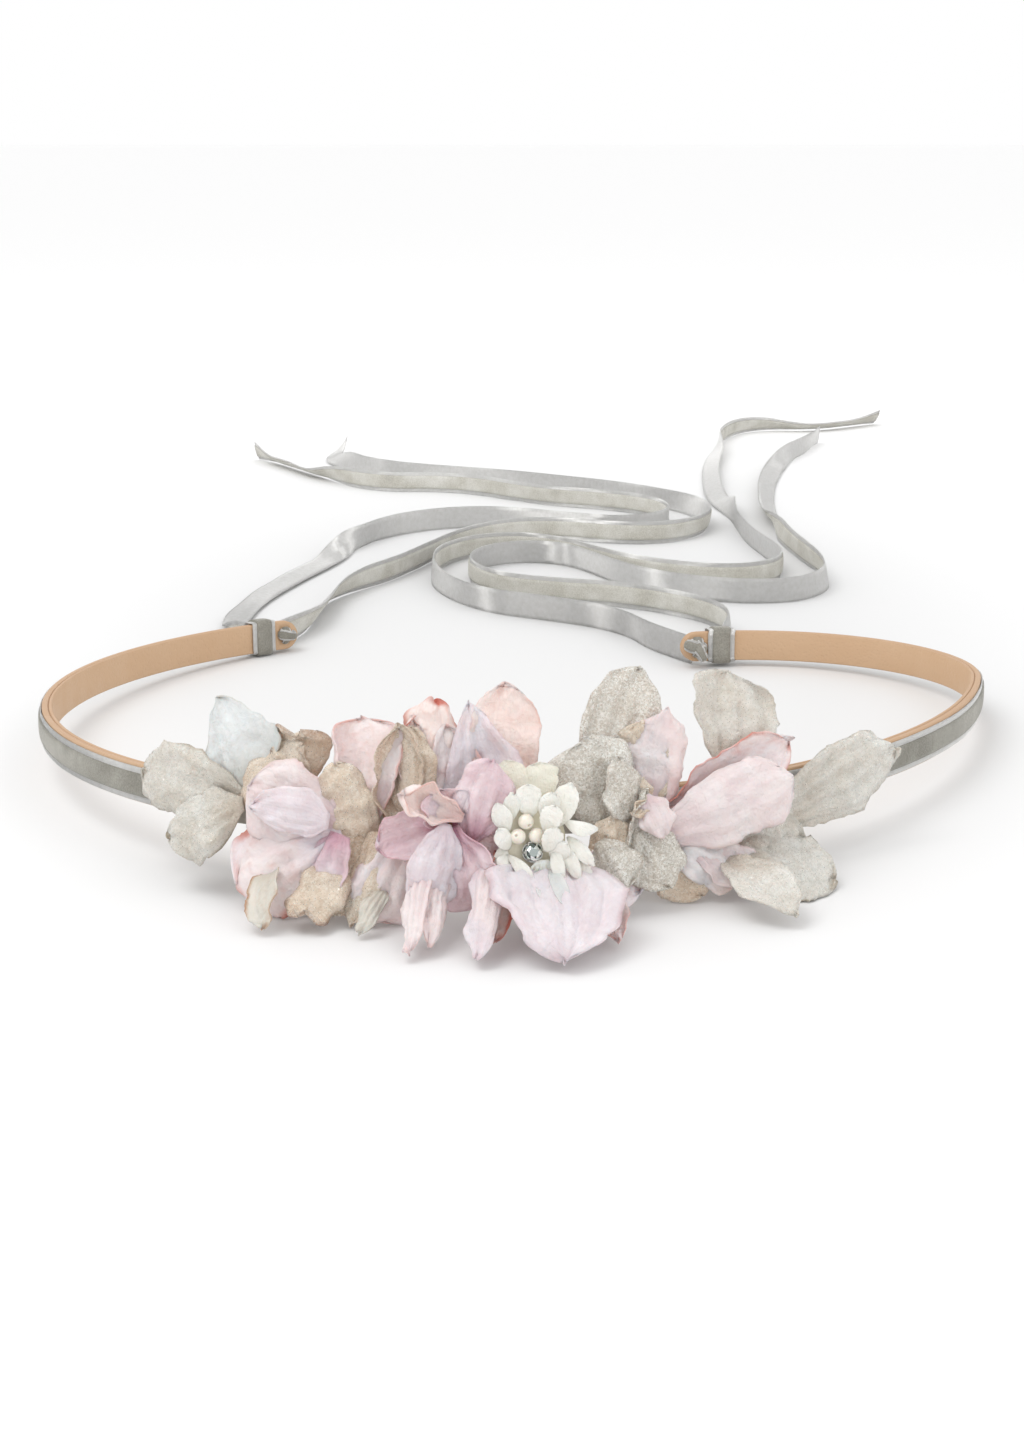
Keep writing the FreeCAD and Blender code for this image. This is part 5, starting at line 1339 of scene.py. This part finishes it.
def claws():
    material = metalFinish()
    stone = flowerPlace["stone"]
    profile = [(0.16, 0.0), (0.17, 0.5), (0.15, 1.1), (0.15, 1.5), (0.11, 1.62), (0.03, 1.66)]
    points, faces = [], []
    lathe(profile, Matrix.Identity(4), 10, points, faces)
    bent = []
    for p in points:
        lean = -0.28 * smoothStep(1.1, 1.7, p.z)
        bent.append(Vector((p.x + lean + 0.12 * smoothStep(0.0, 1.0, p.z) - 0.12, p.y * 0.9, p.z)))
    claw = newPiece("claw", bent, faces, [])
    ringLook = {"Ring Radius": (stone + 0.12) * mm, "Claw Count": 6}
    prongs = grown(claw, clawTree(material), ringLook, "claw_ring")
    cup, cupFaces = [], []
    cupProfile = [(0.7, 0.0), (0.95, 0.2), (stone + 0.08, 0.95), (stone + 0.2, 1.0), (stone + 0.2, 1.12),
                  (stone + 0.02, 1.14), (0.85, 0.4), (0.5, 0.3)]
    lathe(cupProfile, Matrix.Identity(4), 40, cup, cupFaces)
    base = len(prongs.data.vertices)
    allPoints = [v.co / mm for v in prongs.data.vertices] + cup
    allFaces = [tuple(p.vertices) for p in prongs.data.polygons]
    allFaces += [tuple(i + base for i in face) for face in cupFaces]
    bpy.data.objects.remove(prongs)
    spot = onFlower @ Matrix.Translation(Vector((*stoneSpot, flowerPlace["disc"])))
    ringPiece = newPiece("claw_setting_ring", allPoints, allFaces, [material], spot)
    crownPiece(ringPiece, ["claw_setting"])


claws()


# thread fan
def threadFinish():
    f = Finish("whiteThread", 0.7)
    ply = f.noise(2600, 3)
    f.set(Sheen_Weight=0.4, Subsurface_Weight=0.2, Subsurface_Scale=0.0005)
    return f.finish(f.ramp(ply, (0.3, tint("E9E4D6")), (0.7, tint("FAF8F1"))), None, f.bump(ply, 0.00004))


def threadTree(material):
    tree, given = newTree("threadFan", Thread_Count="Int", Fan_Width="Float", Thread_Length="Float",
                          Thread_Radius="Float", Spread="Float", Seed="Int")
    node, link = tree.nodes.new, tree.links.new
    line = node("GeometryNodeMeshLine")
    line.mode = "END_POINTS"
    start, end = node("ShaderNodeCombineXYZ"), node("ShaderNodeCombineXYZ")
    link(times(tree, given.outputs["Fan Width"], -0.5), start.inputs["X"])
    link(times(tree, given.outputs["Fan Width"], 0.5), end.inputs["X"])
    link(given.outputs["Thread Count"], line.inputs["Count"])
    link(start.outputs[0], line.inputs["Start Location"])
    link(end.outputs[0], line.inputs["Offset"])
    bendLine = node("GeometryNodeCurveQuadraticBezier")
    bendLine.inputs["Resolution"].default_value = 7
    bendLine.inputs["Start"].default_value = (0, 0, 0)
    drop, dropHalf = node("ShaderNodeCombineXYZ"), node("ShaderNodeCombineXYZ")
    threadLength = given.outputs["Thread Length"]
    link(times(tree, threadLength, -1.0), drop.inputs["Y"])
    link(times(tree, threadLength, -0.5), dropHalf.inputs["Y"])
    link(times(tree, threadLength, 0.22), dropHalf.inputs["Z"])
    link(dropHalf.outputs[0], bendLine.inputs["Middle"])
    link(drop.outputs[0], bendLine.inputs["End"])
    roundOff = node("GeometryNodeCurvePrimitiveCircle")
    roundOff.inputs["Resolution"].default_value = 6
    link(given.outputs["Thread Radius"], roundOff.inputs["Radius"])
    tube = node("GeometryNodeCurveToMesh")
    tube.inputs["Fill Caps"].default_value = True
    link(bendLine.outputs["Curve"], tube.inputs["Curve"])
    link(roundOff.outputs["Curve"], tube.inputs["Profile Curve"])
    number = node("GeometryNodeInputIndex")
    share = node("ShaderNodeMapRange")
    last = node("ShaderNodeMath")
    last.operation = "SUBTRACT"
    last.inputs[1].default_value = 1.0
    link(given.outputs["Thread Count"], last.inputs[0])
    link(number.outputs[0], share.inputs["Value"])
    link(last.outputs[0], share.inputs["From Max"])
    link(times(tree, given.outputs["Spread"], -1.0), share.inputs["To Min"])
    link(given.outputs["Spread"], share.inputs["To Max"])
    stray = node("FunctionNodeRandomValue")
    stray.inputs[2].default_value = -0.09
    stray.inputs[3].default_value = 0.09
    link(given.outputs["Seed"], stray.inputs["Seed"])
    angle = node("ShaderNodeMath")
    angle.operation = "ADD"
    link(share.outputs[0], angle.inputs[0])
    link(stray.outputs[1], angle.inputs[1])
    turn = node("ShaderNodeCombineXYZ")
    link(angle.outputs[0], turn.inputs["Z"])
    size = node("FunctionNodeRandomValue")
    size.inputs[2].default_value = 0.8
    size.inputs[3].default_value = 1.1
    link(given.outputs["Seed"], size.inputs["Seed"])
    spread = node("GeometryNodeInstanceOnPoints")
    link(line.outputs["Mesh"], spread.inputs["Points"])
    link(tube.outputs["Mesh"], spread.inputs["Instance"])
    link(turn.outputs[0], spread.inputs["Rotation"])
    link(size.outputs[1], spread.inputs["Scale"])
    paintResult(tree, spread.outputs["Instances"], material)
    return tree


fanLook = {"Thread Count": 46, "Fan Width": 1.6 * mm, "Thread Length": 3.4 * mm, "Thread Radius": 0.055 * mm,
           "Spread": 0.72, "Seed": 4}
fanSeed = newPiece("fanSeed", [Vector((0, 0, 0))], [], [])
fan = grown(fanSeed, threadTree(threadFinish()), fanLook, "thread_fan_fringe")
fan.data.transform(Matrix.Scale(mm, 4) @ onFlower @ Matrix.Translation(Vector((1.2, -3.0, 2.0)))
                   @ Matrix.Rotation(0.35, 4, "X") @ Matrix.Scale(1 / mm, 4))
crownPiece(fan, ["thread_fan"])
print("white flower made")


# stems and flower base
def stemFinish():
    f = Finish("stemWire", 0.6)
    bark = f.noise(900, 4, 0.6, 1.2)
    return f.finish(f.ramp(bark, (0.3, tint("7C5A4A")), (0.7, tint("A98A70"))), None, f.bump(bark, 0.0001))


florets = [(-35.2, 2.4, 4.8), (-20.4, 4.6, 3.0), (-23.6, 6.4, -3.8), (-14.2, 2.4, 4.4),
           (-6.2, 9.0, 4.8), (-1.2, 1.4, 6.6), (-1.8, 7.2, -3.8), (13.2, 2.8, 4.8),
           (20.8, 4.4, 5.0), (33.0, 0.9, 4.2), (28.2, 3.2, -3.4)]
stemLook = {"radius": 0.42, "bud": 0.95, "sides": 12}
points, faces = [], []
for along, out, up in florets:
    root = bandPoint(along, bandPath["padFace"] - 0.2, min(max(up, 1.2), 4.8))
    head = bandPoint(along, bandPath["padFace"] + out, up)
    run = head - root
    r, bud, tall = stemLook["radius"], stemLook["bud"], run.length
    profile = [(r * 1.3, 0.0), (r, 0.4), (r * 0.85, tall * 0.5), (r, tall - bud),
               (bud * 0.75, tall - bud * 0.55), (bud, tall), (bud * 0.8, tall + bud * 0.5),
               (bud * 0.3, tall + bud * 0.9)]
    profile = sorted(profile, key=lambda p: p[1])
    aim = run.to_track_quat("Z", "Y").to_matrix().to_4x4()
    lathe(profile, Matrix.Translation(root) @ aim, stemLook["sides"], points, faces)
crownPiece(newPiece("stems_and_buds", points, faces, [stemFinish()], layDown), ["floret_stems"])


def paperBaseFinish():
    f = Finish("paperBase", 0.6)
    pulp = f.noise(800, 4)
    return f.finish(f.ramp(pulp, (0.3, tint("D9D3BC")), (0.7, tint("EAE5D2"))), None, f.bump(pulp, 0.00008))


def steelFinish():
    f = Finish("springSteel", 0.3)
    f.set(Metallic=1.0)
    drawn = f.noise(300, 3, 0.5, 0.0, "Object", (1.0, 1.0, 12.0))
    return f.finish(f.ramp(drawn, (0.3, tint("A7A9AB")), (0.7, tint("C9CBCD"))),
                    f.ramp(drawn, (0.3, 0.22), (0.7, 0.4)), f.bump(drawn, 0.00002))


for node, material in (("flower_disc", paperBaseFinish()), ("spring_core", steelFinish())):
    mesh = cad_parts[node].data
    mesh.materials.clear()
    mesh.materials.append(material)


# glitter grains
def grainFinish():
    f = Finish("glitterGrain", 0.22)
    f.set(Metallic=0.7, Specular_IOR_Level=0.8)
    return f.finish(f.ramp(f.noise(2400, 2), (0.3, tint("D9D2C4")), (0.7, tint("FFFDF6"))), None, None)


def grainTree(material):
    tree, given = newTree("glitterGrains", Grain_Density="Float", Grain_Radius="Float",
                          Tilt="Float", Seed="Int")
    node, link = tree.nodes.new, tree.links.new
    strew = node("GeometryNodeDistributePointsOnFaces")
    link(given.outputs["Geometry"], strew.inputs["Mesh"])
    link(given.outputs["Grain Density"], strew.inputs["Density"])
    link(given.outputs["Seed"], strew.inputs["Seed"])
    flake = node("GeometryNodeMeshCircle")
    flake.fill_type = "NGON"
    flake.inputs["Vertices"].default_value = 5
    link(given.outputs["Grain Radius"], flake.inputs["Radius"])
    spread = node("GeometryNodeInstanceOnPoints")
    link(strew.outputs["Points"], spread.inputs["Points"])
    link(strew.outputs["Rotation"], spread.inputs["Rotation"])
    link(flake.outputs["Mesh"], spread.inputs["Instance"])
    tip = node("FunctionNodeRandomValue")
    tip.data_type = "FLOAT_VECTOR"
    link(times(tree, given.outputs["Tilt"], -1.0), tip.inputs[0])
    link(given.outputs["Tilt"], tip.inputs[1])
    link(given.outputs["Seed"], tip.inputs["Seed"])
    turn = node("GeometryNodeRotateInstances")
    link(spread.outputs["Instances"], turn.inputs["Instances"])
    link(tip.outputs[0], turn.inputs["Rotation"])
    paintResult(tree, turn.outputs["Instances"], material)
    return tree


grainLook = {"Grain Density": 2.2e6, "Grain Radius": 0.00007, "Tilt": 0.7, "Seed": 21}
bed = newPiece("grainBed", glitterSheets.points, glitterSheets.faces, [], layDown)
grains = grown(bed, grainTree(grainFinish()), grainLook, "glitter_grains")
crownPiece(grains, [])
print("glitter grains:", len(grains.data.polygons))

# table and light
# near and far give the table colour close to the crown and away from it: painted shade round the crown,
# fading to the paler floor
stageLook = {"near": 0.74, "far": 0.98, "middle": (0.0, 0.09), "reach": (0.15, 0.24),
             "key": 2.1, "fill": 0.55, "world": 1.0}
bpy.ops.mesh.primitive_plane_add(size=40, location=(0, 6, 0))
table = bpy.context.object
table.name = "table"
tableFinish = Finish("paleTable", 0.9)
centred = tableFinish.nodes.new("ShaderNodeMapping")
centred.inputs["Location"].default_value = (-stageLook["middle"][0] / stageLook["reach"][0],
                                            (6 - stageLook["middle"][1]) / stageLook["reach"][1], 0)
centred.inputs["Scale"].default_value = (1 / stageLook["reach"][0], 1 / stageLook["reach"][1], 1)
tableFinish.links.new(tableFinish.spot.outputs["Object"], centred.inputs["Vector"])
away = tableFinish.nodes.new("ShaderNodeVectorMath")
away.operation = "LENGTH"
tableFinish.links.new(centred.outputs["Vector"], away.inputs[0])
spread = tableFinish.math("MULTIPLY", away.outputs["Value"], 0.5)
# painted shade: the table darkens towards the crown
tableFinish.finish(tableFinish.ramp(spread, (0.22, stageLook["near"]), (0.72, stageLook["far"])))
tableFinish.set(Specular_IOR_Level=0.1)
table.data.materials.append(tableFinish.material)


def softLight(name, spot, aim, size, power):
    data = bpy.data.lights.new(name, "AREA")
    data.shape = "DISK"
    data.size = size
    data.energy = power
    light = bpy.data.objects.new(name, data)
    light.location = spot
    light.rotation_euler = (Vector(aim) - Vector(spot)).to_track_quat("-Z", "Y").to_euler()
    bpy.context.scene.collection.objects.link(light)


softLight("keyLight", (-0.35, -0.1, 0.75), (0, 0.05, 0), 0.55, stageLook["key"])
softLight("fillLight", (0.55, -0.5, 0.45), (0, 0, 0), 0.6, stageLook["fill"])
world = bpy.data.worlds.new("studio")
world.use_nodes = True
world.node_tree.nodes["Background"].inputs["Color"].default_value = (1, 1, 1, 1)
world.node_tree.nodes["Background"].inputs["Strength"].default_value = stageLook["world"]
bpy.context.scene.world = world
bpy.context.scene.view_settings.view_transform = "Standard"

print("all pieces ready")
